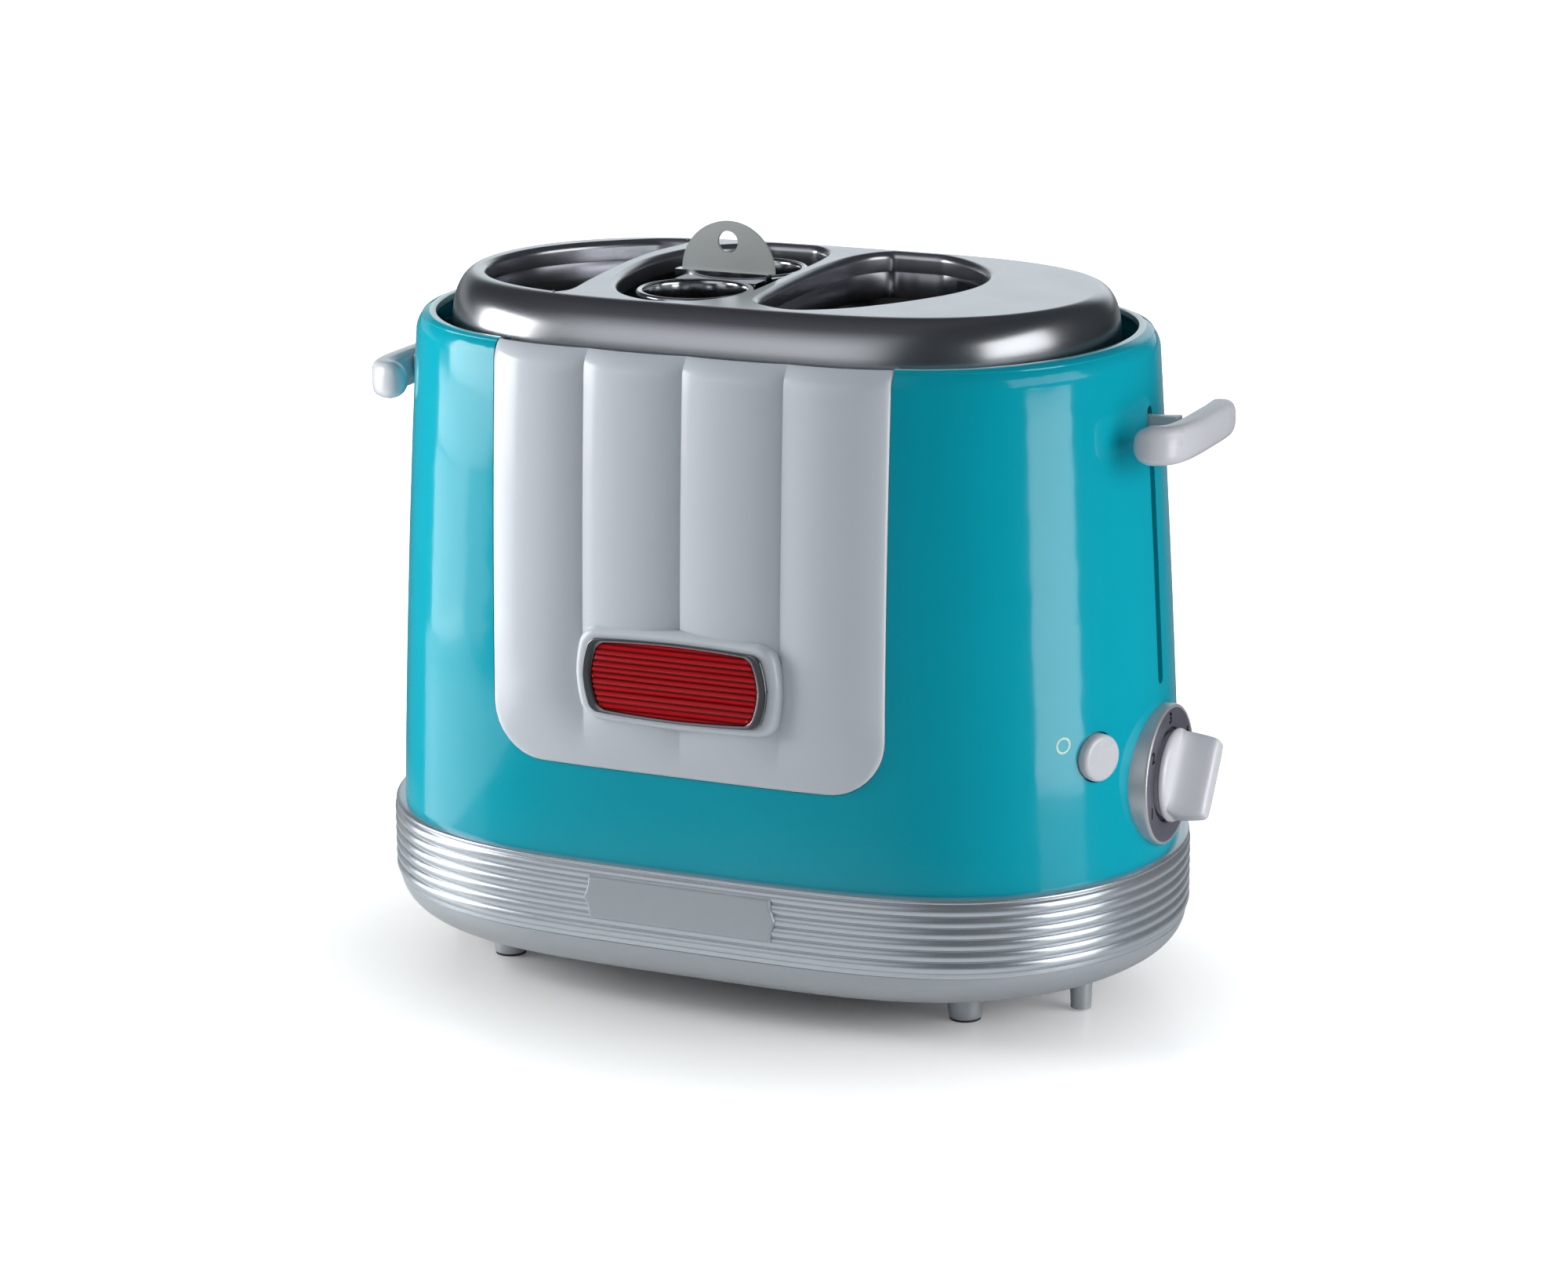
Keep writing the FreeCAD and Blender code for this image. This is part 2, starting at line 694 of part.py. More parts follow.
def cover_loft(inset, low_z, high_z):
    """The cover's solid form: a flat top, a rolled edge and a slightly flared side."""
    steps = [(0.0, 0.0), (0.46, 1.6), (0.74, 4.4), (0.92, 8.6), (1.0, 13.0)]
    wires = []
    for share, drop in reversed(steps):
        half_x = cover_flat_half_x + (cover_half_x - cover_flat_half_x) * share - inset
        half_y = cover_flat_half_y + (cover_half_y - cover_flat_half_y) * share - inset
        wires.append(outline(half_x, half_y, high_z - drop, cover_power_x, cover_power_y))
    wires.insert(0, outline(cover_half_x - inset, cover_half_y - inset, low_z, cover_power_x, cover_power_y))
    return Part.makeLoft(wires, True, False)


def top_cover():
    """The steel cover with its three openings, each with a turned-down lip."""
    cover = cover_loft(0, cover_bottom_z, cover_z).cut(cover_loft(cover_sheet, cover_bottom_z - 1,
                                                                  cover_z - cover_sheet))
    for points in (left_opening, cage_opening, right_opening):
        lip = point_prism(grown(points, cover_sheet), cover_z - lip_depth, cover_z - cover_sheet)
        cover = cover.fuse(lip).cut(point_prism(points, cover_bottom_z - 2, cover_z + 2))
    return cover.removeSplitter()


# ---- chamber ------------------------------------------------------------------------------
def chassis_base():
    """The floor sheet of the chamber, open over the crumb tray."""
    sheet = oval_prism(band_half_x - band_wall - 1.2, band_half_y - band_wall - 1.2, chassis_z, chassis_top_z)
    notch = gland_flange_radius + 1
    sheet = sheet.cut(box((gland_x - notch, gland_front_y() - 10.5, chassis_z - 1), (gland_x + notch, band_half_y, chassis_top_z + 1)))
    sheet = sheet.cut(box((tray_left_x + 4, -44, chassis_z - 1), (heater_left_x - 4, 44, chassis_top_z + 1)))
    sheet = sheet.cut(box((heater_left_x + 4, -44, chassis_z - 1), (heater_right_x - 4, 44, chassis_top_z + 1)))
    return sheet.cut(box((heater_right_x + 4, -44, chassis_z - 1), (tray_right_x - 2, 44, chassis_top_z + 1)))


def heat_shield(side):
    """A reflector wall along the front or rear of the chamber."""
    near = side * shield_y
    far = side * (shield_y + shield_sheet)
    top = cover_bottom_z + 3
    shield = box((shield_left_x, min(near, far), chassis_top_z), (end_plate_x, max(near, far), cover_bottom_z - 1))
    shield = shield.fuse(box((-45, min(near, far), chassis_top_z), (45, max(near, far), top)))
    tabs = box((-45, min(near, side * 80), top - shield_sheet), (45, max(near, side * 80), top))
    tabs = tabs.cut(box((-25, -90, top - 5), (25, 90, top + 5)))
    tabs = tabs.common(cover_loft(cover_sheet, cover_bottom_z - 1, cover_z - cover_sheet))
    return shield.fuse(tabs).removeSplitter()


def end_plate_right():
    """The wall between the chamber and the controls, with a shelf that holds the guide rod."""
    reach = shield_y + shield_sheet
    plate = box((end_plate_x, -reach, chassis_top_z), (end_plate_x + chassis_sheet, reach, cover_bottom_z))
    slot_top = chassis_top_z + arm_slot_height
    plate = plate.cut(box((end_plate_x - 1, -chamber_arm_gap, chassis_top_z - 1),
                          (end_plate_x + chassis_sheet + 1, chamber_arm_gap, slot_top)))
    rod_x = rod_places()[1][0]
    shelf = box((end_plate_x, -12, rod_bracket_z), (rod_x + rod_radius + 0.6, rod_y + rod_radius + 1,
                                                    rod_bracket_z + bracket_sheet))
    return plate.fuse(shelf).removeSplitter()


def rod_places():
    """Centres of the left and right guide rods."""
    offset = lift_plate_x + lift_plate_sheet / 2 + bush_size / 2
    return [(-offset, rod_y), (offset, rod_y)]


def guide_rod(index):
    """A guide rod that stands between the chassis and its bracket."""
    x, y = rod_places()[index]
    return cylinder(rod_radius, chassis_top_z, rod_bracket_z, x, y)


def half_tubes(center_x, radius, low_z, high_z, side):
    """Curved walls round a bun slot, in two halves with a gap for the lift arm."""
    ring = tube(radius + liner_sheet, radius, low_z, high_z, center_x, 0)
    edge_x = shield_left_x if side < 0 else end_plate_x - 30
    limit = 200
    if side < 0:
        keep = box((center_x - limit, -limit, low_z), (edge_x, limit, high_z))
    else:
        keep = box((edge_x, -limit, low_z), (center_x + limit, limit, high_z))
    ring = ring.common(keep)
    return ring.cut(box((center_x - limit, -chamber_arm_gap, low_z - 1), (center_x + limit, chamber_arm_gap,
                                                                          high_z + 1)))


def bun_liner_left():
    """The two curved walls of the left bun slot."""
    return half_tubes(left_bun_x, left_liner_radius, chassis_top_z, liner_top_z, -1)


def bun_liner_right():
    """The two curved walls of the right bun slot."""
    return half_tubes(right_bun_x, right_liner_radius, chassis_top_z, liner_top_z, 1)


def rod_bracket_left():
    """The bracket on the left liner that holds the top of its guide rod."""
    rod_x, _ = rod_places()[0]
    plate = box((rod_x - rod_radius - 0.6, -12, rod_bracket_z), (left_bun_x - 30, rod_y + rod_radius + 1,
                                                                 rod_bracket_z + bracket_sheet))
    return plate.cut(cylinder(left_liner_radius + liner_sheet, rod_bracket_z - 1, rod_bracket_z + 3, left_bun_x, 0))


def heater_plate(x):
    """A mica board across the chamber, notched for the lift arm."""
    board = box((x, -shield_y, heater_bottom_z), (x + heater_board, shield_y, heater_top_z))
    notch_top = crossbar_top_z + 3
    return board.cut(box((x - 1, -heater_notch, heater_bottom_z - 1), (x + heater_board + 1, heater_notch, notch_top)))


def heater_winding(x):
    """Flat heating ribbon on both faces of a board."""
    ribbons = []
    notch_top = crossbar_top_z + 3
    z = heater_bottom_z + winding_margin
    reach = shield_y - winding_margin
    inner = heater_notch + winding_margin
    while z < heater_top_z - winding_margin:
        spans = [(-reach, reach)] if z > notch_top + 2 else [(-reach, -inner), (inner, reach)]
        for face in (x - winding_sheet, x + heater_board):
            ribbons += [box((face, low, z), (face + winding_sheet, high, z + winding_height)) for low, high in spans]
        z += winding_pitch
    return Part.makeCompound(ribbons)


def heater_supports():
    """Four channels on the chassis that carry the lower corners of the boards."""
    blocks = []
    for x in (heater_left_x, heater_right_x):
        for side in (-1, 1):
            near, far = sorted((side * (shield_y - 12), side * shield_y))
            blocks.append(box((x - 1.6, near, chassis_top_z), (x + heater_board + 1.6, far, heater_bottom_z)))
    return Part.makeCompound(blocks)


# ---- carriage -------------------------------------------------------------------------------
def crossbar():
    """The strip on edge that joins both lift plates through the chamber."""
    reach = lift_plate_x - lift_plate_sheet / 2
    half = crossbar_thickness / 2
    return box((-reach, -half, crossbar_z), (reach, half, crossbar_top_z))


def lift_plate(side):
    """An upright plate between a lever and the crossbar."""
    x = side * lift_plate_x
    half = lift_plate_sheet / 2
    return box((x - half, -lift_plate_front, crossbar_z), (x + half, rod_y + bush_size / 2, lift_plate_top_z))


def guide_bush(side):
    """A plastic bush that slides on a guide rod."""
    x, y = rod_places()[0 if side < 0 else 1]
    half = bush_size / 2
    block = box((x - half, y - half, bush_z), (x + half, y + half, bush_z + bush_height))
    return block.cut(cylinder(rod_radius + bush_clearance, bush_z - 1, bush_z + bush_height + 1, x, y))


def handle_point(radius, y):
    """A point of the handle's plan curve: the same centre for its outer and inner side."""
    center_x = handle_reach - handle_curve_radius
    x = center_x + math.sqrt(radius ** 2 - (y - handle_farthest_y) ** 2)
    return Vector(x, y, handle_bottom_z)


def lever_handle(side):
    """A bowed grip bar, swept a little to the rear, on a flat stem."""
    outer_radius = handle_curve_radius
    inner_radius = handle_curve_radius - handle_thickness
    middle_y = (handle_front_y + handle_rear_y) / 2
    outer = [handle_point(outer_radius, y) for y in (handle_front_y, middle_y, handle_rear_y)]
    inner = [handle_point(inner_radius, y) for y in (handle_rear_y, middle_y, handle_front_y)]
    edges = [Part.Arc(*outer).toShape(), Part.LineSegment(outer[2], inner[0]).toShape(),
             Part.Arc(*inner).toShape(), Part.LineSegment(inner[2], outer[0]).toShape()]
    bar = Part.Face(Part.Wire(edges)).extrude(Vector(0, 0, handle_height))
    upright = [edge for edge in bar.Edges if abs(edge.tangentAt(edge.FirstParameter).z) > 0.99]
    bar = bar.makeFillet(0.46 * handle_thickness, upright)
    flat = [edge for edge in bar.Edges if edge.BoundBox.ZLength < 0.01]
    bar = bar.makeFillet(handle_edge_radius, flat)
    stem_end = handle_point(inner_radius, 0).x + 1
    low = handle_bottom_z + 1
    high = handle_bottom_z + handle_height - 1
    stem = box((lift_plate_x + lift_plate_sheet / 2, -stem_thickness / 2, low), (stem_end, stem_thickness / 2, high))
    bar = bar.fuse(stem).removeSplitter()
    return bar if side > 0 else mirrored(bar)


def bun_rack(center_x, radius, bars, strip_low, strip_high):
    """A rack of bars across a slot, on a strip that is fixed along the crossbar."""
    rack = box((strip_low, -6, crossbar_top_z), (strip_high, 6, crossbar_top_z + rack_sheet))
    for x in bars:
        half = math.sqrt(radius ** 2 - (x - center_x) ** 2) - 5
        half = min(half, shield_y - winding_margin)
        rack = rack.fuse(box((x - rack_bar / 2, -half, crossbar_top_z), (x + rack_bar / 2, half,
                                                                         crossbar_top_z + rack_bar)))
    return rack.removeSplitter()


def bun_rack_left():
    """The rack under the left bun."""
    left_edge = left_bun_x - left_bun_radius
    pitch = (heater_left_x - left_edge) / 4.2
    bars = [left_edge + pitch * step for step in (1, 2, 3)]
    return bun_rack(left_bun_x, left_bun_radius, bars, bars[0] - 2, bars[-1] + 2)


def bun_rack_right():
    """The rack under the right bun."""
    right_edge = right_bun_x + right_bun_radius
    pitch = (right_edge - heater_right_x) / 5
    bars = [right_edge - pitch * step for step in (0.85, 1.85, 2.85, 3.85)]
    return bun_rack(right_bun_x, right_bun_radius, bars, bars[-1] - 2, bars[0] + 2)


def cage_saddle():
    """The plate on the crossbar that the sausage cage stands on."""
    return box((cage_x - 12, -hole_y - 12, crossbar_top_z), (cage_x + 12, hole_y + 12, crossbar_top_z + saddle_sheet))


magnet_offset = 19.0
magnet_x = lift_plate_x - magnet_offset
magnet_y = -15.0
magnet_half = 8.0
magnet_height = 22.0
armature_gap = 0.4
armature_sheet = 2.5


def electromagnet():
    """The holding magnet: a wound bobbin round a square core."""
    low = chassis_top_z
    core = box((magnet_x - 3, magnet_y - 3, low), (magnet_x + 3, magnet_y + 3, low + magnet_height))
    coil = cylinder(magnet_half, low + 3, low + magnet_height - 3, magnet_x, magnet_y)
    ends = [box((magnet_x - magnet_half, magnet_y - magnet_half, z), (magnet_x + magnet_half, magnet_y + magnet_half,
                                                                      z + 1.5))
            for z in (low + 1.5, low + magnet_height - 3)]
    return core.fuse(coil).fuse(ends[0]).fuse(ends[1]).removeSplitter()


def armature_plate():
    """The bracket on the crossbar that the magnet holds when the carriage is down."""
    low = chassis_top_z + magnet_height + armature_gap + travel
    side = -crossbar_thickness / 2
    upright = box((magnet_x - magnet_half, side - 1.5, crossbar_z), (magnet_x + magnet_half, side,
                                                                      low + armature_sheet))
    plate = box((magnet_x - magnet_half, magnet_y - magnet_half, low), (magnet_x + magnet_half, side,
                                                                         low + armature_sheet))
    return upright.fuse(plate).removeSplitter()


def return_spring():
    """The coil spring round the right guide rod, under its bush."""
    x, y = rod_places()[1]
    low = chassis_top_z + 0.6
    height = bush_z - chassis_top_z - 1.2
    coil_radius = rod_radius + 1.2
    steps = 12 * spring_turns
    points = []
    for index in range(steps + 1):
        angle = 2 * math.pi * index / 12
        points.append(Vector(x + coil_radius * math.cos(angle), y + coil_radius * math.sin(angle),
                             low + height * index / steps))
    path = Part.makePolygon(points)
    along = (points[1] - points[0]).normalize()
    side = along.cross(Vector(0, 0, 1)).normalize() * spring_wire_radius
    up = side.cross(along).normalize() * spring_wire_radius
    ring = [points[0] + side * math.cos(math.pi * k / 3) + up * math.sin(math.pi * k / 3) for k in range(6)]
    return path.makePipeShell([Part.makePolygon(ring + [ring[0]])], True, False, 1)


# ---- sausage cage ----------------------------------------------------------------------------
def cage_plate():
    """Two rims joined by a raised bridge."""
    low = cage_plate_z - cage_plate_sheet
    plate = cylinder(ring_radius, low, cage_plate_z, cage_x, -hole_y)
    plate = plate.fuse(cylinder(ring_radius, low, cage_plate_z, cage_x, hole_y))
    plate = plate.fuse(box((cage_x - 14, -6, low), (cage_x + 14, 6, cage_plate_z)))
    plate = plate.fuse(box((cage_x - tab_radius, -2, cage_plate_z - 0.5), (cage_x + tab_radius, 2, cage_bridge_z)))
    for side in (-1, 1):
        plate = plate.cut(cylinder(basket_radius - basket_sheet, low - 1, cage_bridge_z + 1, cage_x, side * hole_y))
    return plate.removeSplitter()


def basket(side):
    """A sheet tube with long windows and a floor."""
    y = side * hole_y
    top = cage_plate_z - cage_plate_sheet
    body = tube(basket_radius, basket_radius - basket_sheet, basket_bottom_z, top, cage_x, y)
    floor = cylinder(basket_radius, basket_bottom_z, basket_bottom_z + 1, cage_x, y)
    body = body.fuse(floor)
    reach = basket_radius + 2
    for index in range(4):
        window = box((-reach, -3, basket_bottom_z + 9), (reach, 3, top - 9))
        window.rotate(Vector(0, 0, 0), Vector(0, 0, 1), 45 * index + 22.5)
        window.translate(Vector(cage_x, y, 0))
        body = body.cut(window)
    return body.removeSplitter()


def lift_tab():
    """The half-round tab with a hole that lifts the cage out."""
    disc = Part.makeCylinder(tab_radius, tab_sheet, Vector(cage_x + 2, -tab_sheet / 2, cage_bridge_z),
                             Vector(0, 1, 0))
    half = disc.common(box((cage_x - 40, -5, cage_bridge_z), (cage_x + 40, 5, cage_bridge_z + 40)))
    hole = Part.makeCylinder(tab_hole_radius, 10, Vector(cage_x + 2, -5, cage_bridge_z + tab_hole_height),
                             Vector(0, 1, 0))
    return half.cut(hole)


# ---- controls ---------------------------------------------------------------------------------
def along_x(radius, start, length):
    """A cylinder on the knob's axis."""
    return Part.makeCylinder(radius, length, Vector(start, knob_y, knob_z), Vector(1, 0, 0))


def dial_ring():
    """The silver ring that carries the numbers, with a step for the knob."""
    back = dial_face_x - dial_depth
    ring = along_x(dial_radius, back, dial_depth)
    rim = [edge for edge in ring.Edges if abs(edge.CenterOfMass.x - dial_face_x) < 0.01]
    ring = ring.makeFillet(0.8, rim)
    ring = ring.cut(along_x(knob_radius + knob_gap, dial_face_x - 1.6, 5))
    return ring.cut(along_x(shaft_radius + shaft_clearance, back - 1, dial_depth + 2))


def timer_knob():
    """A disc with a waisted grip bar."""
    start = dial_face_x - 1.6 + knob_gap
    disc = along_x(knob_radius, start, knob_face_x - start)
    rim = [edge for edge in disc.Edges if abs(edge.CenterOfMass.x - knob_face_x) < 0.01]
    disc = disc.makeFillet(1.2, rim)
    half_low, half_high = grip_width / 2, grip_end_width / 2
    long_low, long_high = knob_radius - 0.6, knob_radius - 2.2
    wires = []
    for x, wide, long in ((knob_face_x - 1.5, half_low, long_low), (knob_reach, half_high, long_high)):
        corners = [Vector(x, -long, -wide), Vector(x, long, -wide), Vector(x, long, wide), Vector(x, -long, wide)]
        wires.append(Part.makePolygon(corners + [corners[0]]))
    grip = Part.makeLoft(wires, True, True)
    grip = grip.makeFillet(1.8, [edge for edge in grip.Edges if edge.CenterOfMass.x > knob_face_x])
    grip.rotate(Vector(0, 0, 0), Vector(1, 0, 0), grip_angle)
    grip.translate(Vector(0, knob_y, knob_z))
    return disc.fuse(grip).removeSplitter()


def timer_shaft():
    """The shaft from the knob into the timer."""
    front = dial_face_x - 1.6 + knob_gap
    back = dial_face_x - dial_depth - pot_depth + 2
    return along_x(shaft_radius, back, front - back)


def timer_body():
    """The timer potentiometer behind the dial."""
    front = dial_face_x - dial_depth
    body = box((front - pot_depth, knob_y - pot_half, knob_z - pot_half), (front, knob_y + pot_half, knob_z + pot_half))
    upright = [edge for edge in body.Edges if abs(edge.tangentAt(edge.FirstParameter).x) > 0.99]
    body = body.makeFillet(3, upright)
    return body.cut(along_x(shaft_radius + shaft_clearance, front - pot_depth + 1.8, pot_depth))


def stop_button():
    """The round stop button with its plunger."""
    cap = on_button_axis(button_radius, -button_depth, button_depth + button_proud)
    far = (button_center + button_normal * button_proud)
    rim = [edge for edge in cap.Edges if (edge.CenterOfMass - far).Length < 0.05]
    cap = cap.makeFillet(1.3, rim)
    return cap.fuse(on_button_axis(2.0, -button_depth - 0.4, 1.4)).removeSplitter()


def button_guide():
    """The sleeve behind the housing wall that guides the button."""
    start = -button_depth - button_travel - 0.6
    outer = on_button_axis(button_hole_radius + guide_wall, start, -start + 10)
    outer = outer.cut(on_button_axis(button_hole_radius, start - 1, -start + 20))
    return max(outer.common(shell_loft(-shell_wall, shell_bottom_z, shell_top_z)).Solids, key=lambda s: s.Volume)


def stop_switch():
    """The switch that the button presses, on the end of the sleeve."""
    start = -button_depth - button_travel - 0.6 - switch_depth
    return on_button_axis(button_hole_radius + guide_wall, start, switch_depth)


board_y = -40.0
board_sheet = 1.6
board_length = 34.0
board_right_x = end_plate_x + board_length
board_top_z = 108.0


def control_board():
    """The circuit board, on edge between the end plate and the chassis."""
    return box((end_plate_x + chassis_sheet, board_y, chassis_top_z), (board_right_x, board_y + board_sheet,
                                                                        board_top_z))


def board_parts():
    """Components on the circuit board."""
    face = board_y + board_sheet
    left = end_plate_x + 6
    parts = [box((left, face, 50), (left + 14, face + 9, 62)), box((left + 1, face, 90), (left + 10, face + 5, 102)),
             box((left, face, 70), (left + 12, face + 2.5, 78))]
    for z in (56, 70):
        parts.append(Part.makeCylinder(4, 10, Vector(left + 20, face, z), Vector(0, 1, 0)))
    return Part.makeCompound(parts)


def clamp_places():
    """The two clamps of the terminal block, along X."""
    return [end_plate_x + 13.5, end_plate_x + 24.5]


def terminal_block():
    """The terminal block for the supply."""
    left = end_plate_x + 8
    block = box((left, 30, chassis_top_z), (left + 22, 42, chassis_top_z + 11))
    for x in clamp_places():
        block = block.cut(cylinder(2.2, chassis_top_z + 5, chassis_top_z + 12, x, 36))
    return block


def lead(points, radius):
    """A bent lead: straight runs joined by tangent arcs."""
    vectors = [Vector(*point) for point in points]
    edges = []
    start = vectors[0]
    for before, corner, after in zip(vectors[:-2], vectors[1:-1], vectors[2:]):
        into = (corner - before).normalize()
        out = (after - corner).normalize()
        turn = into.getAngle(out)
        shorter = min((corner - before).Length, (after - corner).Length)
        bend = 0.45 * shorter / math.tan(turn / 2)
        reach = bend * math.tan(turn / 2)
        first = corner - into * reach
        last = corner + out * reach
        bisector = (out - into).normalize()
        center = corner + bisector * math.sqrt(bend ** 2 + reach ** 2)
        middle = center - bisector * bend
        edges.append(Part.LineSegment(start, first).toShape())
        edges.append(Part.Arc(first, middle, last).toShape())
        start = last
    edges.append(Part.LineSegment(start, vectors[-1]).toShape())
    path = Part.Wire(edges)
    direction = (vectors[1] - vectors[0]).normalize()
    section = Part.Wire([Part.makeCircle(radius, vectors[0], direction)])
    return path.makePipeShell([section], True, True)


def supply_leads():
    """Two insulated leads from the gland to the terminal block and on to the board."""
    block_top = chassis_top_z + 11
    inner = gland_front_y()
    leads = []
    for offset, clamp_x in zip((-1.6, 1.6), clamp_places()):
        x = gland_x + offset
        leads.append(lead([(x, inner + 2, gland_z), (x, inner - 7, gland_z), (clamp_x, inner - 12.5, block_top + 9),
                           (clamp_x, 36, block_top + 9), (clamp_x, 36, block_top + 0.2)], 1.0))
    return Part.makeCompound(leads)


def gland_front_y():
    """Inner end of the gland."""
    half_x, half_y = band_half_x - band_wall, band_half_y - band_wall
    return half_y * (1 - (gland_x / half_x) ** outline_power_x) ** (1 / outline_power_y) - 2


def cord_gland():
    """The grommet in the band where a supply lead would enter."""
    start = gland_front_y()
    body = Part.makeCylinder(gland_radius - 0.02, gland_length, Vector(gland_x, start, gland_z), Vector(0, 1, 0))
    flange = Part.makeCylinder(gland_flange_radius, 20, Vector(gland_x, start - 6, gland_z), Vector(0, 1, 0))
    flange = flange.common(oval_prism(band_half_x - band_wall, band_half_y - band_wall, band_bottom_z, 60))
    bore = Part.makeCylinder(gland_bore_radius, gland_length + 10, Vector(gland_x, start - 8, gland_z), Vector(0, 1, 0))
    return body.fuse(flange).cut(bore).removeSplitter()


# ---- crumb tray --------------------------------------------------------------------------------
def crumb_tray():
    """The tray that slides out at the rear, with a curved lip flush with the band."""
    rear_y = band_half_y - 14
    low, high = tray_z, tray_z + tray_height
    outer = box((tray_left_x, tray_front_y, low), (tray_right_x, rear_y, high))
    tray = outer.cut(box((tray_left_x + tray_sheet, tray_front_y + tray_sheet, low + tray_sheet),
                         (tray_right_x - tray_sheet, rear_y - tray_sheet, high + 1)))
    edge = oval_prism(band_half_x + rib_height, band_half_y + rib_height, low, high)
    edge = edge.cut(oval_prism(band_half_x - tray_lip_wall, band_half_y - tray_lip_wall, low - 1, high + 1))
    lip = edge.common(box((tray_left_x, 0, low), (tray_right_x, band_half_y + 5, high)))
    floor = oval_prism(band_half_x - tray_lip_wall + 0.5, band_half_y - tray_lip_wall + 0.5, low, low + tray_sheet)
    floor = floor.common(box((tray_left_x, rear_y - 2, low), (tray_right_x, band_half_y + 5, high)))
    middle = (tray_left_x + tray_right_x) / 2
    pull = box((middle - 22, band_half_y - 1, low + 1.6), (middle + 22, badge_reach(), low + 3.4))
    upright = [e for e in pull.Edges if abs(e.tangentAt(e.FirstParameter).z) > 0.99 and e.CenterOfMass.y > band_half_y]
    pull = pull.makeFillet(min(2.0, 0.48 * (badge_reach() - band_half_y + 1)), upright)
    return tray.fuse(floor).fuse(lip).fuse(pull).removeSplitter()


def badge_reach():
    """How far the badge stands out in front; the tray's pull stands out as far behind."""
    return wall_y(0, badge_z) + badge_frame_proud


parts = {
    "body_shell": body_shell, "front_panel": front_panel, "badge_frame": badge_frame,
    "badge_insert": badge_insert, "base_band": base_band, "name_plate": name_plate, "base_pan": base_pan,
    "base_screws": base_screws, "feet": feet, "foot_pads": foot_pads, "cord_wrap_pegs": cord_wrap_pegs,
    "top_cover": top_cover, "chassis_base": chassis_base,
    "heat_shield_front": lambda: heat_shield(-1), "heat_shield_rear": lambda: heat_shield(1),
    "end_plate_right": end_plate_right, "bun_liner_left": bun_liner_left, "bun_liner_right": bun_liner_right,
    "rod_bracket_left": rod_bracket_left, "guide_rod_left": lambda: guide_rod(0),
    "guide_rod_right": lambda: guide_rod(1),
    "heater_board_left": lambda: heater_plate(heater_left_x),
    "heater_board_right": lambda: heater_plate(heater_right_x),
    "heater_winding_left": lambda: heater_winding(heater_left_x),
    "heater_winding_right": lambda: heater_winding(heater_right_x),
    "heater_supports": heater_supports, "return_spring": return_spring, "electromagnet": electromagnet,
    "control_board": control_board, "board_parts": board_parts, "terminal_block": terminal_block,
    "supply_leads": supply_leads, "cord_gland": cord_gland, "dial_ring": dial_ring, "timer_body": timer_body,
    "button_guide": button_guide, "stop_switch": stop_switch,
    "crossbar": crossbar, "lift_plate_left": lambda: lift_plate(-1), "lift_plate_right": lambda: lift_plate(1),
    "guide_bush_left": lambda: guide_bush(-1), "guide_bush_right": lambda: guide_bush(1),
    "lever_handle_left": lambda: lever_handle(-1), "lever_handle_right": lambda: lever_handle(1),
    "bun_rack_left": bun_rack_left, "bun_rack_right": bun_rack_right, "cage_saddle": cage_saddle,
    "armature_plate": armature_plate,
    "cage_plate": cage_plate, "sausage_basket_front": lambda: basket(-1), "sausage_basket_rear": lambda: basket(1),
    "lift_tab": lift_tab,
    "timer_knob": timer_knob, "timer_shaft": timer_shaft, "stop_button": stop_button,
    "crumb_tray": crumb_tray,
}

for part_name, make in parts.items():
    save(part_name, make())
print(f"{len(parts)} sub-parts, origin shift {origin_shift.x:.2f} mm")
print(f"button centre {button_center}, normal {button_normal}")
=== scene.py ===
# %% [markdown]
# # A pop-up toaster for sausages and buns
# This lesson dresses a toaster whose solid parts are already made. The solids come in as a fixed
# frame, and every new piece is modelled in place over them. Lengths are written in millimetres,
# because that is how such a housing is drawn, and they are turned into metres where a vertex is
# placed.
# %% Load the frame
import json
import math
import bpy
import bmesh
from mathutils import Vector, Matrix


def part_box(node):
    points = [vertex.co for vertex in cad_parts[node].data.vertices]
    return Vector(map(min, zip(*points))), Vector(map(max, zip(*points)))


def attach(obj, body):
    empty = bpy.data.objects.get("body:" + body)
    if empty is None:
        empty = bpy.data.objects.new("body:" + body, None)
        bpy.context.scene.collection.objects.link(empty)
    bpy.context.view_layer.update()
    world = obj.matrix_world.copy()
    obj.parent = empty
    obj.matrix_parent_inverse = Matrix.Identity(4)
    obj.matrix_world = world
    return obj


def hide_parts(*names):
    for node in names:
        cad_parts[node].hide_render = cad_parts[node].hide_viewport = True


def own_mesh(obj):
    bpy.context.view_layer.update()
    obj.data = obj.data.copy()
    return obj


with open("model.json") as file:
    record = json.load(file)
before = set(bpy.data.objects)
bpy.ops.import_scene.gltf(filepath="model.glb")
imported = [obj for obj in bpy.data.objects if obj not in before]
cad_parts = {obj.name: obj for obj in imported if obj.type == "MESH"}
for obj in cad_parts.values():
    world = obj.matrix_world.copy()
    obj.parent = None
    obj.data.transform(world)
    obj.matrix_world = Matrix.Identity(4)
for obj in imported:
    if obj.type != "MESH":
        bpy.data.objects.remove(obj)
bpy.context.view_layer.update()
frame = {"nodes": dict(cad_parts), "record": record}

MM = 0.001
nodes = frame["nodes"]

# %% [markdown]
# The housing's middle isn't the frame's zero, because the knob reaches further than the lever
# opposite. The middle is read from the housing's own box, and every new piece is modelled about
# it.
# %% Find the housing's middle
shell_low, shell_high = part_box("body_shell")
middle_x = (shell_low.x + shell_high.x) / 2
print("housing middle at x =", round(middle_x, 5))


def place(x, y, z):
    """A point in metres from millimetres about the housing's middle."""
    return Vector((middle_x + x * MM, y * MM, z * MM))


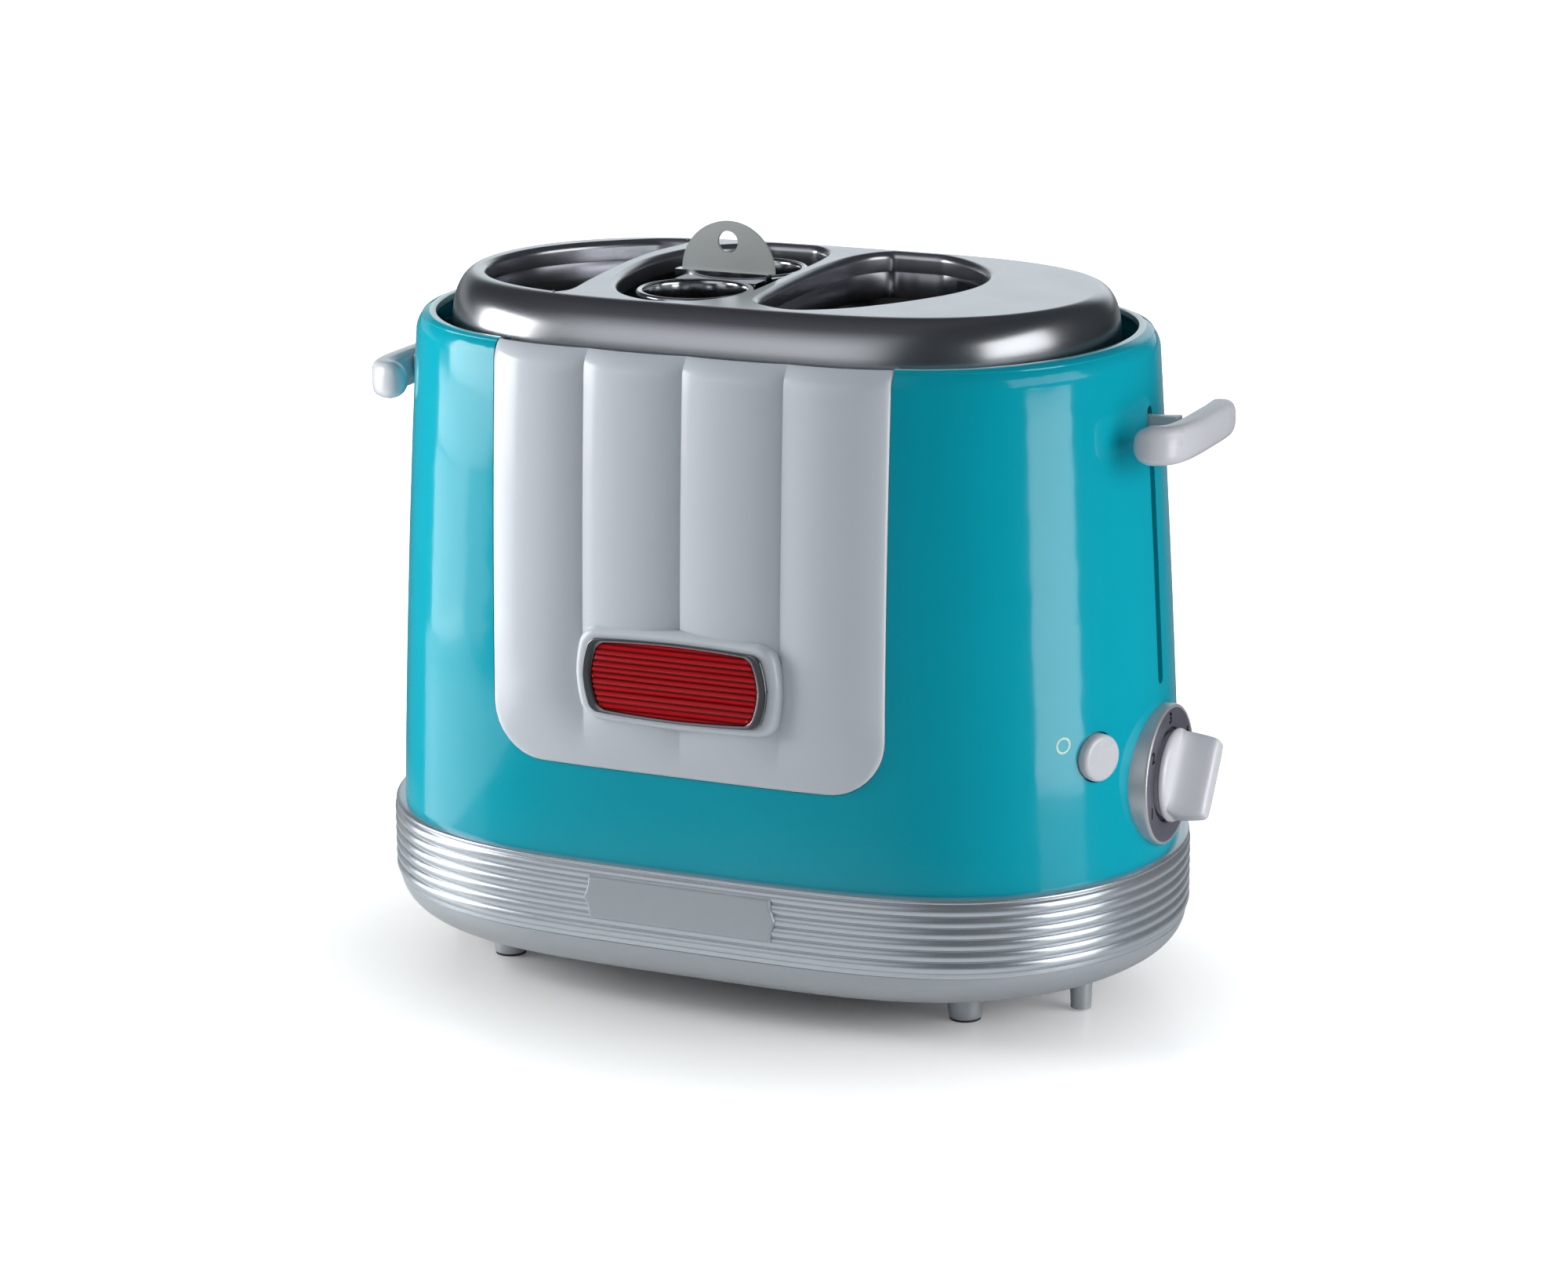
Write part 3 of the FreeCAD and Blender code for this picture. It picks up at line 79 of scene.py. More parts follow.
# %% [markdown]
# ## Finishes
# Every finish is a small node tree round one Principled shader. One helper adds a node with its
# settings and the plain numbers on its sockets, and one links them. A third makes the whole finish
# with what a real surface has: a slow drift in roughness, and a fine relief. Two sizes of noise in
# object space do both, so nothing slides when a piece moves.
# %% Helpers for node trees and finishes
def add_node(tree, kind, numbers=None, **settings):
    """A shader node of a kind, with its settings and the plain numbers of its sockets."""
    node = tree.nodes.new("ShaderNode" + kind)
    for name, value in settings.items():
        setattr(node, name, value)
    for socket, value in (numbers or {}).items():
        node.inputs[socket].default_value = value
    return node


def link(tree, *links):
    """Links, each given as a node, its output, the next node and its input."""
    for source, output, target, socket in links:
        tree.links.new(source.outputs[output], target.inputs[socket])


def finish(name, color, roughness, metallic=0.0, drift=0.06, relief=0.0, relief_scale=900.0,
           coat=0.0, coat_roughness=0.05, specular=0.5, tint=0.0):
    """A Principled material whose roughness, colour and relief vary a little over the surface."""
    material = bpy.data.materials.new(name)
    material.use_nodes = True
    tree = material.node_tree
    shader = tree.nodes["Principled BSDF"]
    for socket, value in (("Base Color", (*color, 1.0)), ("Metallic", metallic),
                          ("Coat Weight", coat), ("Coat Roughness", coat_roughness),
                          ("Specular IOR Level", specular)):
        shader.inputs[socket].default_value = value
    where = add_node(tree, "TexCoord")
    slow = add_node(tree, "TexNoise", {"Scale": 60.0, "Detail": 3.0})
    spread = add_node(tree, "MapRange", {"To Min": max(0.02, roughness - drift),
                                         "To Max": roughness + drift})
    link(tree, (where, "Object", slow, "Vector"), (slow, "Fac", spread, "Value"),
         (spread, "Result", shader, "Roughness"))
    if tint:
        darker = [channel * (1 - tint) for channel in color]
        lighter = [min(1.0, channel * (1 + tint)) for channel in color]
        mix = add_node(tree, "Mix", {6: (*darker, 1.0), 7: (*lighter, 1.0)}, data_type="RGBA")
        link(tree, (slow, "Fac", mix, 0), (mix, 2, shader, "Base Color"))
    if relief:
        fine = add_node(tree, "TexNoise", {"Scale": relief_scale, "Detail": 2.0})
        bump = add_node(tree, "Bump", {"Strength": relief, "Distance": 0.0002})
        link(tree, (where, "Object", fine, "Vector"), (fine, "Fac", bump, "Height"),
             (bump, "Normal", shader, "Normal"))
    return material


def brushed(name, color, roughness, relief, stretch=(4.0, 4.0, 900.0)):
    """Metal with fine drawn lines: noise that is stretched along the drawing direction."""
    material = finish(name, color, roughness, metallic=1.0, drift=0.03)
    tree = material.node_tree
    where = next(node for node in tree.nodes if node.type == "TEX_COORD")
    mapping = add_node(tree, "Mapping", {"Scale": stretch})
    lines = add_node(tree, "TexNoise", {"Scale": 3.0, "Detail": 4.0})
    bump = add_node(tree, "Bump", {"Strength": relief, "Distance": 0.0001})
    link(tree, (where, "Object", mapping, "Vector"), (mapping, "Vector", lines, "Vector"),
         (lines, "Fac", bump, "Height"), (bump, "Normal", tree.nodes["Principled BSDF"], "Normal"))
    return material


# %% [markdown]
# Outside, the teal housing is painted and the white panel is moulded. Both are glossy, so they get
# a thin clear coat over a smooth colour. The silver parts are satin and only partly metallic, which
# keeps them pale. The cover, the guards, the cage and the badge's frame are fully metal, and the
# sheets show fine drawn lines. Each could be one flat colour, but no real surface is that even.
# %% The finishes that show
teal_paint = finish("teal_gloss_paint", (0.001, 0.32, 0.42), 0.12, drift=0.02, relief=0.01,
                    relief_scale=260, coat=0.12, coat_roughness=0.03, specular=0.4, tint=0.03)
# The lip's pale colour is a painted highlight, in place of the light that its flat top catches.
painted_highlight_lip = finish("painted_highlight_on_lip", (0.33, 0.60, 0.66), 0.2, drift=0.03, relief=0.01,
                   relief_scale=260, coat=0.6)
panel_white = finish("panel_gloss_white", (0.54, 0.57, 0.62), 0.22, drift=0.03, relief=0.01,
                     relief_scale=300, coat=0.3, coat_roughness=0.08)
cover_steel = brushed("cover_polished_steel", (0.59, 0.605, 0.635), 0.25, relief=0.03)
liner_steel = brushed("liner_sheet_steel", (0.38, 0.38, 0.42), 0.24, relief=0.05,
                      stretch=(900.0, 900.0, 6.0))
cage_steel = finish("cage_bright_steel", (0.62, 0.64, 0.66), 0.13, metallic=1.0, drift=0.04,
                    relief=0.02)
tab_steel = finish("tab_satin_steel", (0.62, 0.65, 0.64), 0.42, metallic=0.55, drift=0.05,
                   relief=0.03, relief_scale=1800, tint=0.04)
base_silver = finish("base_satin_silver", (0.42, 0.45, 0.48), 0.36, metallic=0.5, drift=0.05,
                     relief=0.06, relief_scale=2600, tint=0.03)
band_silver = finish("band_satin_silver", (0.56, 0.60, 0.645), 0.26, metallic=0.8, drift=0.03,
                     tint=0.03)
plate_silver = finish("plate_satin_silver", (0.44, 0.48, 0.52), 0.42, metallic=0.5, drift=0.03,
                      relief=0.05, relief_scale=2200)
lever_white = finish("lever_gloss_grey", (0.53, 0.535, 0.575), 0.28, drift=0.04, relief=0.01,
                     coat=0.35, coat_roughness=0.1)
knob_grey = finish("knob_satin_grey", (0.63, 0.63, 0.67), 0.32, metallic=0.1, drift=0.04,
                   relief=0.02)
dial_silver = finish("dial_satin_silver", (0.17, 0.17, 0.21), 0.40, metallic=0.55, drift=0.05,
                     relief=0.05, relief_scale=2400)
rim_silver = finish("dial_rim_silver", (0.56, 0.57, 0.60), 0.34, metallic=0.6, drift=0.04,
                    relief=0.03, relief_scale=2400)
bright_trim = finish("badge_bright_trim", (0.26, 0.27, 0.29), 0.26, metallic=1.0, drift=0.03,
                     relief=0.01)
mark_cream = finish("printed_cream", (0.55, 0.68, 0.58), 0.4, drift=0.03, relief=0.02)
mark_black = finish("printed_black", (0.006, 0.006, 0.008), 0.5, drift=0.04, relief=0.02,
                    specular=0.1)
print(len(bpy.data.materials), "finishes so far")

# %% [markdown]
# The badge's red plate has fine level ribs. The red is made dark in the valleys, as painted shade,
# and light on the crests, as a painted highlight: a cosine of the height, with the ribs' own pitch
# and middle, mixes a dark and a light red.
# %% The ribbed red, with painted shade and highlight
badge_z, badge_pitch = 109.2, 1.86
badge_red = finish("badge_red_with_painted_rib_shade", (0.42, 0.002, 0.008), 0.25, drift=0.03, coat=0.1,
                   specular=0.18)
tree = badge_red.node_tree
where = next(node for node in tree.nodes if node.type == "TEX_COORD")
split = add_node(tree, "SeparateXYZ")
turns = add_node(tree, "Math", {1: 2 * math.pi / (badge_pitch * MM),
                                2: -2 * math.pi * badge_z / badge_pitch}, operation="MULTIPLY_ADD")
wave = add_node(tree, "Math", operation="COSINE")
depth = add_node(tree, "MapRange", {"From Min": -0.9, "From Max": 0.5})
# Dark red in the valleys is painted shade, and light red on the crests is a painted highlight.
rib_shade_and_highlight = add_node(tree, "Mix", {6: (0.08, 0.0003, 0.001, 1), 7: (0.50, 0.001, 0.006, 1)},
                data_type="RGBA")
link(tree, (where, "Object", split, 0), (split, "Z", turns, 0), (turns, 0, wave, 0),
     (wave, 0, depth, "Value"), (depth, "Result", rib_shade_and_highlight, 0),
     (rib_shade_and_highlight, 2, tree.nodes["Principled BSDF"], "Base Color"))
print("ribs of", badge_pitch, "mm")

# %% [markdown]
# Inside are the plain materials of a toaster: sheet steel, pressed mica under the heating ribbon,
# a bright reflector, a green board and moulded plastic. They show only through the openings, but
# they are finished with the same care as the rest.
# %% The finishes inside
plain_steel = brushed("plain_sheet_steel", (0.48, 0.49, 0.50), 0.32, relief=0.05)
shield_aluminium = brushed("reflector_aluminium", (0.72, 0.73, 0.74), 0.26, relief=0.04)
dark_plastic = finish("moulded_dark_plastic", (0.03, 0.03, 0.033), 0.5, relief=0.1,
                      relief_scale=1500)
dark_rubber = finish("matte_rubber", (0.022, 0.022, 0.024), 0.75, drift=0.08, relief=0.2,
                     relief_scale=1300)
mica = finish("pressed_mica", (0.11, 0.10, 0.09), 0.6, drift=0.1, relief=0.2, relief_scale=500,
              tint=0.2)
ribbon = finish("heating_ribbon", (0.22, 0.2, 0.19), 0.42, metallic=1.0, drift=0.08, tint=0.15)
board_green = finish("circuit_board", (0.02, 0.15, 0.05), 0.35, relief=0.05, relief_scale=700)
copper_coil = finish("wound_coil", (0.30, 0.10, 0.035), 0.4, metallic=0.6, drift=0.08, relief=0.3,
                     relief_scale=1900)
lead_rubber = finish("lead_insulation", (0.03, 0.02, 0.015), 0.6, relief=0.08)
print(len(bpy.data.materials), "finishes made")

# %% [markdown]
# The frame's nodes each name a material slot. A table turns the slot's name into a finish, and the
# finish goes into the node's material slots, so that a hidden piece is as finished as a visible
# one.
# %% Dress the frame's nodes
by_slot = {
    "shell_paint": teal_paint, "panel_white": panel_white, "bright_trim": bright_trim,
    "badge_red": badge_red, "base_silver": base_silver, "plate_silver": plate_silver,
    "plain_steel": plain_steel, "dark_rubber": dark_rubber, "cover_steel": cover_steel,
    "shield_aluminium": shield_aluminium, "mica": mica, "heating_ribbon": ribbon,
    "spring_steel": plain_steel, "coil": copper_coil, "board_green": board_green,
    "dark_plastic": dark_plastic, "lead_rubber": lead_rubber, "dial_silver": dial_silver,
    "lever_white": lever_white, "knob_grey": knob_grey, "cage_steel": cage_steel,
}
own_finish = {"bun_liner_left": liner_steel, "bun_liner_right": liner_steel,
              "base_band": band_silver, "lift_tab": tab_steel}
for entry in frame["record"]["subparts"]:
    name = entry["node"]
    nodes[name].data.materials.clear()
    nodes[name].data.materials.append(own_finish.get(name, by_slot[entry["material_slot"]]))
print(len(nodes), "nodes dressed")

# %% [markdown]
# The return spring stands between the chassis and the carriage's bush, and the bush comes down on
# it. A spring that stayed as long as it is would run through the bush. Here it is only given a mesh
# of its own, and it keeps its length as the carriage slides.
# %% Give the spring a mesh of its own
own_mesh(nodes["return_spring"])

# %% [markdown]
# ## The housing's wall, as numbers
# Several new pieces lie on the housing: the white panel, the badge and the printed mark. They
# could be pressed onto it with a shrinkwrap, but the wall is a plain oval whose half length and
# half depth change with height. Its own rule is short, so the pieces are placed by the rule and
# sit exactly on the wall.
# %% The wall's rule
wall_foot, wall_rise = 48.0, 162.0
foot_halves, drawn_in, swelling = (130.0, 78.2), (9.0, 5.6), (0.45, 1.6)
wall_power_x, wall_power_y = 3.75, 1.88
oval_power_x, oval_power_y = 3.8, 1.9


def half_sizes(z):
    """Half length and half depth of the housing at a height, in millimetres."""
    share = (z - wall_foot) / wall_rise
    bulge = 4 * share * (1 - share)
    return [half - less * share + more * bulge
            for half, less, more in zip(foot_halves, drawn_in, swelling)]


def wall_depth(x, z):
    """How far the wall stands in front of the middle plane."""
    half_x, half_y = half_sizes(z)
    return half_y * (1 - abs(x / half_x) ** wall_power_x) ** (1 / wall_power_y)


def signed_power(value, power):
    """A power that keeps the sign; on a sine and a cosine it squares a circle's shape."""
    return math.copysign(abs(value) ** power, value)


def full_turn(count):
    """The angles of equal steps once round."""
    return [2 * math.pi * index / count for index in range(count)]


def oval(half_x, half_y, z, count=144):
    """A ring of points on a squared oval."""
    return [(half_x * signed_power(math.cos(turn), 2 / oval_power_x),
             half_y * signed_power(math.sin(turn), 2 / oval_power_y), z)
            for turn in full_turn(count)]


print("wall depth at the badge:", round(wall_depth(0, badge_z), 2), "mm")

# %% [markdown]
# An operator works on all that is selected, so every step starts by clearing the selection and
# then picks its edges or faces by a test. Most pieces end the same way as well: points that meet
# are welded and the faces are turned outwards. An open sheet has no outside, so it is turned
# towards a direction instead.
# %% Helpers for the selection and the faces
WELD = 1e-6  # points closer than this, in metres, are one point


def deselect():
    """Leave edit mode and clear the selection."""
    if bpy.context.object and bpy.context.object.mode != "OBJECT":
        bpy.ops.object.mode_set(mode="OBJECT")
    bpy.ops.object.select_all(action="DESELECT")


def select(obj, mode="OBJECT"):
    """Make one object the only selected and active one, in object or edit mode."""
    deselect()
    obj.select_set(True)
    bpy.context.view_layer.objects.active = obj
    bpy.ops.object.mode_set(mode=mode)


def pick(obj, kind, test):
    """In edit mode: select only the edges or faces that pass a test."""
    bpy.ops.mesh.select_mode(type=kind)
    bpy.ops.mesh.select_all(action="DESELECT")
    mesh = bmesh.from_edit_mesh(obj.data)
    for item in mesh.edges if kind == "EDGE" else mesh.faces:
        if test(item):
            item.select_set(True)
    bmesh.update_edit_mesh(obj.data)


def turn_outwards(obj, merge=0.0, toward=None):
    """In edit mode: weld, turn the faces outwards or towards a direction, and leave edit mode."""
    bpy.ops.mesh.select_all(action="SELECT")
    if merge:
        bpy.ops.mesh.remove_doubles(threshold=merge)
    bpy.ops.mesh.normals_make_consistent(inside=False)
    if toward:
        faces = bmesh.from_edit_mesh(obj.data).faces
        if sum(face.normal.dot(Vector(toward)) * face.calc_area() for face in faces) < 0:
            bpy.ops.mesh.flip_normals()
    bpy.ops.object.mode_set(mode="OBJECT")


# %% [markdown]
# Pressed and moulded parts are mostly one outline that is carried through a few depths: a rim, a
# round, a side. By hand that is a circle whose corners are set on the outline, and then an extrude
# for each next depth. A helper does just that in edit mode, and it can close either end.
# %% A helper that extrudes a ring from depth to depth
def carry(name, rings, close_first=False, close_last=False):
    """A circle primitive set on the first ring and extruded on to each next one."""
    deselect()
    bpy.ops.mesh.primitive_circle_add(vertices=len(rings[0]), radius=0.01, location=(0, 0, 0),
                                      fill_type="NGON" if close_first else "NOTHING")
    obj = bpy.context.object
    obj.name = obj.data.name = name
    bpy.ops.object.mode_set(mode="EDIT")
    mesh = bmesh.from_edit_mesh(obj.data)
    ring = list(mesh.verts)
    for vert, point in zip(ring, rings[0]):
        vert.co = place(*point)
    for points in rings[1:]:
        bpy.ops.mesh.select_all(action="DESELECT")
        inside = set(ring)
        for edge in {edge for vert in ring for edge in vert.link_edges}:
            if inside.issuperset(edge.verts):
                edge.select_set(True)
        bmesh.update_edit_mesh(obj.data)
        bpy.ops.mesh.extrude_edges_move()
        mesh = bmesh.from_edit_mesh(obj.data)
        fresh = {vert for vert in mesh.verts if vert.select}
        ring = [next(edge.other_vert(vert) for edge in vert.link_edges
                     if edge.other_vert(vert) in fresh) for vert in ring]
        for vert, point in zip(ring, points):
            vert.co = place(*point)
    bmesh.update_edit_mesh(obj.data)
    if close_last:
        bpy.ops.mesh.edge_face_add()
    turn_outwards(obj)
    return obj


def dress(obj, material, body, angle=35):
    """Give a piece its finish and its body, and shade it smooth up to an angle."""
    select(obj)
    obj.data.materials.clear()
    obj.data.materials.append(material)
    bpy.ops.object.shade_smooth_by_angle(angle=math.radians(angle))
    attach(obj, body)
    deselect()
    print(obj.name, "has", len(obj.data.polygons), "faces")


# %% [markdown]
# ## The steel cover
# The real cover is one pressed sheet. Its flat top rolls over into a flared skirt, and each of the
# three openings has a wide round lip that turns down into the toaster. It could be cut from a
# block with booleans, but a boolean leaves sharp, broken edges exactly where polished steel shows
# every fault. So the skirt and each lip are carried from ring to ring, and only the flat top is
# filled between them. An extra ring on the flat keeps the roll's shading off the flat top.
# %% Smooth closed outlines for the openings
def between(before, start, end, after, t):
    """A point on a smooth curve from start, where t is 0, to end, where t is 1."""
    return 0.5 * ((2 * start) + (end - before) * t
                  + (2 * before - 5 * start + 4 * end - after) * t * t
                  + (3 * start - before - 3 * end + after) * t ** 3)


def closed_curve(points, steps=8):
    """Points on a smooth closed curve through corner points."""
    count = len(points)
    return [between(*(Vector(points[(index + shift) % count]) for shift in (-1, 0, 1, 2)),
                    step / steps)
            for index in range(count) for step in range(steps)]


def right_of(along):
    """The direction in plan that lies square to another, on its right."""
    return Vector((along.y, -along.x))


def widened(outline, margin):
    """The outline moved outwards along its own normal."""
    area = sum(outline[i - 1].cross(outline[i]) for i in range(len(outline)))
    side = 1 if area > 0 else -1
    result = []
    for index, point in enumerate(outline):
        along = (outline[(index + 1) % len(outline)] - outline[index - 1]).normalized()
        result.append(point + side * margin * right_of(along))
    return result


def kept_inside(outline, half_x, half_y):
    """The outline with its points pulled towards the middle until all lie inside a squared oval."""
    result = []
    for point in outline:
        while abs(point.x / half_x) ** oval_power_x + abs(point.y / half_y) ** oval_power_y > 1:
            point = point * 0.998
        result.append(point)
    return result


# %% The openings' corner points
bun_left = [(-57.3, -52.0), (-52.8, -45.5), (-55.2, -27), (-58.6, 2), (-59.0, 26), (-56.3, 42),
            (-57.5, 49.5), (-65, 46.6), (-76, 38.6), (-87, 27.6), (-95.3, 13), (-98.2, -3),
            (-95.8, -18), (-89.8, -31), (-80, -42.5), (-68, -50.0)]
cage_hole = [(-20, -52), (-8, -47.5), (-0.6, -35), (0.4, -20), (-0.8, 5), (-1.6, 28), (-5, 45),
             (-16, 53.5), (-30, 51), (-45, 38.5), (-51.6, 17), (-50.3, -5), (-44.5, -27),
             (-34, -44)]
bun_right = [(27, -49.8), (18, -47.6), (10.4, -41), (7.6, -24), (6.0, -4), (5.4, 18), (7.2, 38),
             (13.4, 50.4), (24, 53.8), (37, 49.6), (49.5, 39.5), (59.0, 26), (62.4, 10), (60.6, -5),
             (55.6, -18), (47.6, -32), (38, -43.4)]
flat_x, flat_y, lip_room = 102.4, 55.2, 3.0
openings = {name: kept_inside(closed_curve(corners), flat_x - lip_room, flat_y - lip_room)
            for name, corners in (("left", bun_left), ("cage", cage_hole), ("right", bun_right))}
print("openings:", {name: len(outline) for name, outline in openings.items()})

# %% The skirt and the three lips
cover_z, lip_round, lip_drop = 221.2, 2.2, 6.2
flare_x, flare_y = 6.4, 11.0
skirt_steps = [(-0.03, 0.0), (0.0, 0.0), (0.10, 0.12), (0.21, 0.42), (0.33, 0.92), (0.46, 1.7),
               (0.58, 2.7), (0.69, 4.0), (0.79, 5.5), (0.87, 7.2), (0.935, 9.2), (0.98, 11.4),
               (1.0, 14.0), (1.0, 18.2)]
cover = carry("steel_cover", [
    oval(flat_x + flare_x * share, flat_y + flare_y * share, cover_z - drop)
    for share, drop in skirt_steps])
lips = []
for name, outline in openings.items():
    rings = [[(*point, cover_z) for point in widened(outline, lip_round + 0.3)]]
    for turn in range(0, 91, 15):
        margin = lip_round * (1 - math.sin(math.radians(turn)))
        drop = lip_round * (1 - math.cos(math.radians(turn)))
        rings.append([(*point, cover_z - drop) for point in widened(outline, margin)])
    rings.append([(*point, cover_z - lip_drop) for point in outline])
    lips.append(carry("lip_" + name, rings))
print("skirt and", len(lips), "lips")

# %% A collar below each bun slot
collar_section = [(206.2, 1.7), (206.0, 1.5), (206.2, 1.3), (215.6, 1.1), (215.9, 1.3),
                  (215.6, 1.6), (206.2, 1.7)]
for name, opening in (("collar_left", "left"), ("collar_right", "right")):
    collar = carry(name, [[(*point, z) for point in widened(openings[opening], margin)]
                          for z, margin in collar_section])
    dress(collar, liner_steel, "housing", angle=40)

# %% Join them, fill the flat top and give the sheet its thickness
deselect()
for piece in [cover] + lips:
    piece.select_set(True)
bpy.context.view_layer.objects.active = cover
bpy.ops.object.join()
bpy.ops.object.mode_set(mode="EDIT")
pick(cover, "EDGE", lambda edge: edge.is_boundary
     and all(abs(vert.co.z - cover_z * MM) < WELD for vert in edge.verts))
bpy.ops.mesh.fill(use_beauty=True)
turn_outwards(cover, merge=WELD, toward=(0, 0, 1))
sheet = cover.modifiers.new("sheet", "SOLIDIFY")
sheet.thickness = 0.8 * MM
sheet.offset = -1
select(cover)
bpy.ops.object.modifier_apply(modifier="sheet")
dress(cover, cover_steel, "housing", angle=50)
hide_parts("top_cover")

# %% [markdown]
# ## The lip of the mouth
# The housing's wall rounds over and ends in a narrow flat lip that looks up, and that lip catches
# the light all the way round. That light is a painted highlight: the lip is given a pale colour. It
# could be a ring that is cut flat by a boolean, but it has to grow wider at the two ends. So two
# small sections are carried round the wall's own outline, from one side of the white panel to the
# other: the last of the painted round, and the lip inside it with its painted highlight. Both grow
# wider where the outline turns towards an end.
# %% Carry the round and the lip about the mouth
round_start, mouth_base = 202.0, 207.1
mouth_count, mouth_front = 288, 216  # steps round the mouth, and the step that is straight in front
panel_gap = 66.2
mouth = [Vector(point[:2]) for point in oval(*half_sizes(round_start), 0.0, count=mouth_count)]
round_rings, lip_rings = [], []
for index in range(mouth_front, mouth_front + mouth_count + 1):
    point = mouth[index % mouth_count]
    if point.y < 0 and abs(point.x) < panel_gap:
        continue
    along = (mouth[(index + 1) % mouth_count] - mouth[(index - 1) % mouth_count]).normalized()
    outward = right_of(along)
    share = 0.15 + 0.85 * outward.x ** 2
    edge = 2.9 + 2.1 * share
    inner = edge + 1.3 + 1.1 * share
    crown = 208.3 + 0.8 * share
    round_section = [(2.3, mouth_base), (2.3, 207.7), (2.7, 208.1),
                     (2.9 + share, 208.1 + 0.5 * share), (edge, crown - 0.05), (edge, mouth_base)]
    lip_section = [(edge - 0.1, mouth_base), (edge - 0.1, crown - 0.1), (edge + 0.1, crown),
                   (inner - 0.3, crown), (inner - 0.1, crown - 0.1), (inner, crown - 0.35),
                   (inner, mouth_base)]
    for rings, section in ((round_rings, round_section), (lip_rings, lip_section)):
        rings.append([(*(point - outward * inset), z) for inset, z in section])
# The lip gets the pale finish, which is its painted highlight.
for name, rings, material in (("mouth_round", round_rings, teal_paint),
                              ("mouth_lip", lip_rings, painted_highlight_lip)):
    dress(carry(name, rings, close_first=True, close_last=True), material, "housing",
          angle=40)

# %% [markdown]
# ## The white panel
# The panel is moulded with four upright flutes that fade out above its lower edge, and it rolls
# over the rim with the housing. Its outline is straight at the sides and round below. It could be
# cut out of a fluted slab, but the cut edge would have to be rounded over the flutes. Here a grid
# primitive is laid so that its own border is the outline: each row is as long as the panel is wide
# at that height. Then every corner point takes its depth from the wall's rule, the flute and the
# round of the edge.
# %% The panel's flutes and edge
panel_half, panel_low, corner = 66.4, 78.1, 18.0
edge_round, edge_drop, panel_proud = 1.7, 1.1, 0.9
flute_width, flute_crown, flute_valley = 33.3, 2.8, 0.45
fade_low, fade_high = 80.0, 106.0


def flute(x, z):
    """How proud the flutes stand: a crown between sharp valleys, faded out below."""
    across = abs(((x / flute_width) % 1.0) * 2 - 1)
    rise = min(1.0, max(0.0, (z - fade_low) / (fade_high - fade_low)))
    rise = rise * rise * (3 - 2 * rise)
    return panel_proud + rise * (flute_crown * (1 - across ** 2.3) - flute_valley)


def edge_distance(x, z):
    """Distance from a point of the panel to its outline, sides and bottom."""
    side = panel_half - abs(x)
    if z < panel_low + corner and side < corner:
        return corner - math.hypot(corner - side, panel_low + corner - z)
    return min(side, z - panel_low)


print("flutes stand", round(flute(flute_width / 2, 150.0), 2), "mm proud")

# %% The grid's rows and columns
near_edge = [0.0, 0.12, 0.4, 0.8, 1.25, edge_round]
rim_radius, wall_top, row_pitch = 8, 208.0, 2.9
rows = []  # each row's height, half width, and how far it is turned in over the rim
for distance in near_edge + [3.2, 5.2, 7.6, 10.4, 13.4, 16.0]:
    turn = math.acos(1 - distance / corner)
    rows.append((panel_low + distance, panel_half - corner + corner * math.sin(turn), 0.0))
rows += [(panel_low + corner + row_pitch * step, panel_half, 0.0) for step in range(36)]
rows = [row for row in rows if row[0] < round_start - 1.0]
for turn in range(0, 49, 8):
    angle = math.radians(turn)
    rows.append((round_start + rim_radius * math.sin(angle), panel_half,
                 rim_radius * (1 - math.cos(angle))))
rows += [(z, panel_half, turned_in)
         for z, turned_in in ((208.2, 3.1), (207.7, 3.5), (205.5, 3.6), (203.0, 3.6))]
flute_shares = (0.0, 0.012, 0.04, 0.09, 0.16, 0.25, 0.35, 0.45, 0.55, 0.65, 0.75, 0.84, 0.91, 0.96,
                0.988)
inner = [valley + flute_width * share for valley in (-66.6, -33.3, 0.0, 33.3)
         for share in flute_shares]
columns = [-(panel_half - distance) for distance in near_edge]
columns += [x for x in inner if abs(x) < panel_half - edge_round - 0.3]
columns += [panel_half - distance for distance in reversed(near_edge)]
print(len(rows), "rows and", len(columns), "columns")

# %% Lay the grid on the wall
deselect()
bpy.ops.mesh.primitive_grid_add(x_subdivisions=len(columns) - 1, y_subdivisions=len(rows) - 1,
                                size=2.0, location=(0, 0, 0))
panel = bpy.context.object
panel.name = panel.data.name = "fluted_panel"
for vert in panel.data.vertices:
    column = round((vert.co.x + 1) / 2 * (len(columns) - 1))
    row = round((vert.co.y + 1) / 2 * (len(rows) - 1))
    z, half, turned_in = rows[row]
    x = columns[column] * (half / panel_half)
    near = max(0.0, edge_distance(x, min(z, round_start)))
    dip = 0.0
    if near < edge_round:
        dip = edge_drop * (1 - math.sqrt(1 - (1 - near / edge_round) ** 2))
    proud = flute(x, z) - dip
    if z > round_start or turned_in:
        proud *= max(0.25, 1 - turned_in / 5)
    vert.co = place(x, -wall_depth(x, min(z, wall_top)) - proud + turned_in, z)
select(panel, "EDIT")
pick(panel, "EDGE", lambda edge: edge.is_boundary)
bpy.ops.mesh.extrude_edges_move(TRANSFORM_OT_translate={"value": (0, 2.6 * MM, 0)})
turn_outwards(panel, toward=(0, -1, 0))
dress(panel, panel_white, "housing", angle=24)
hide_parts("front_panel")

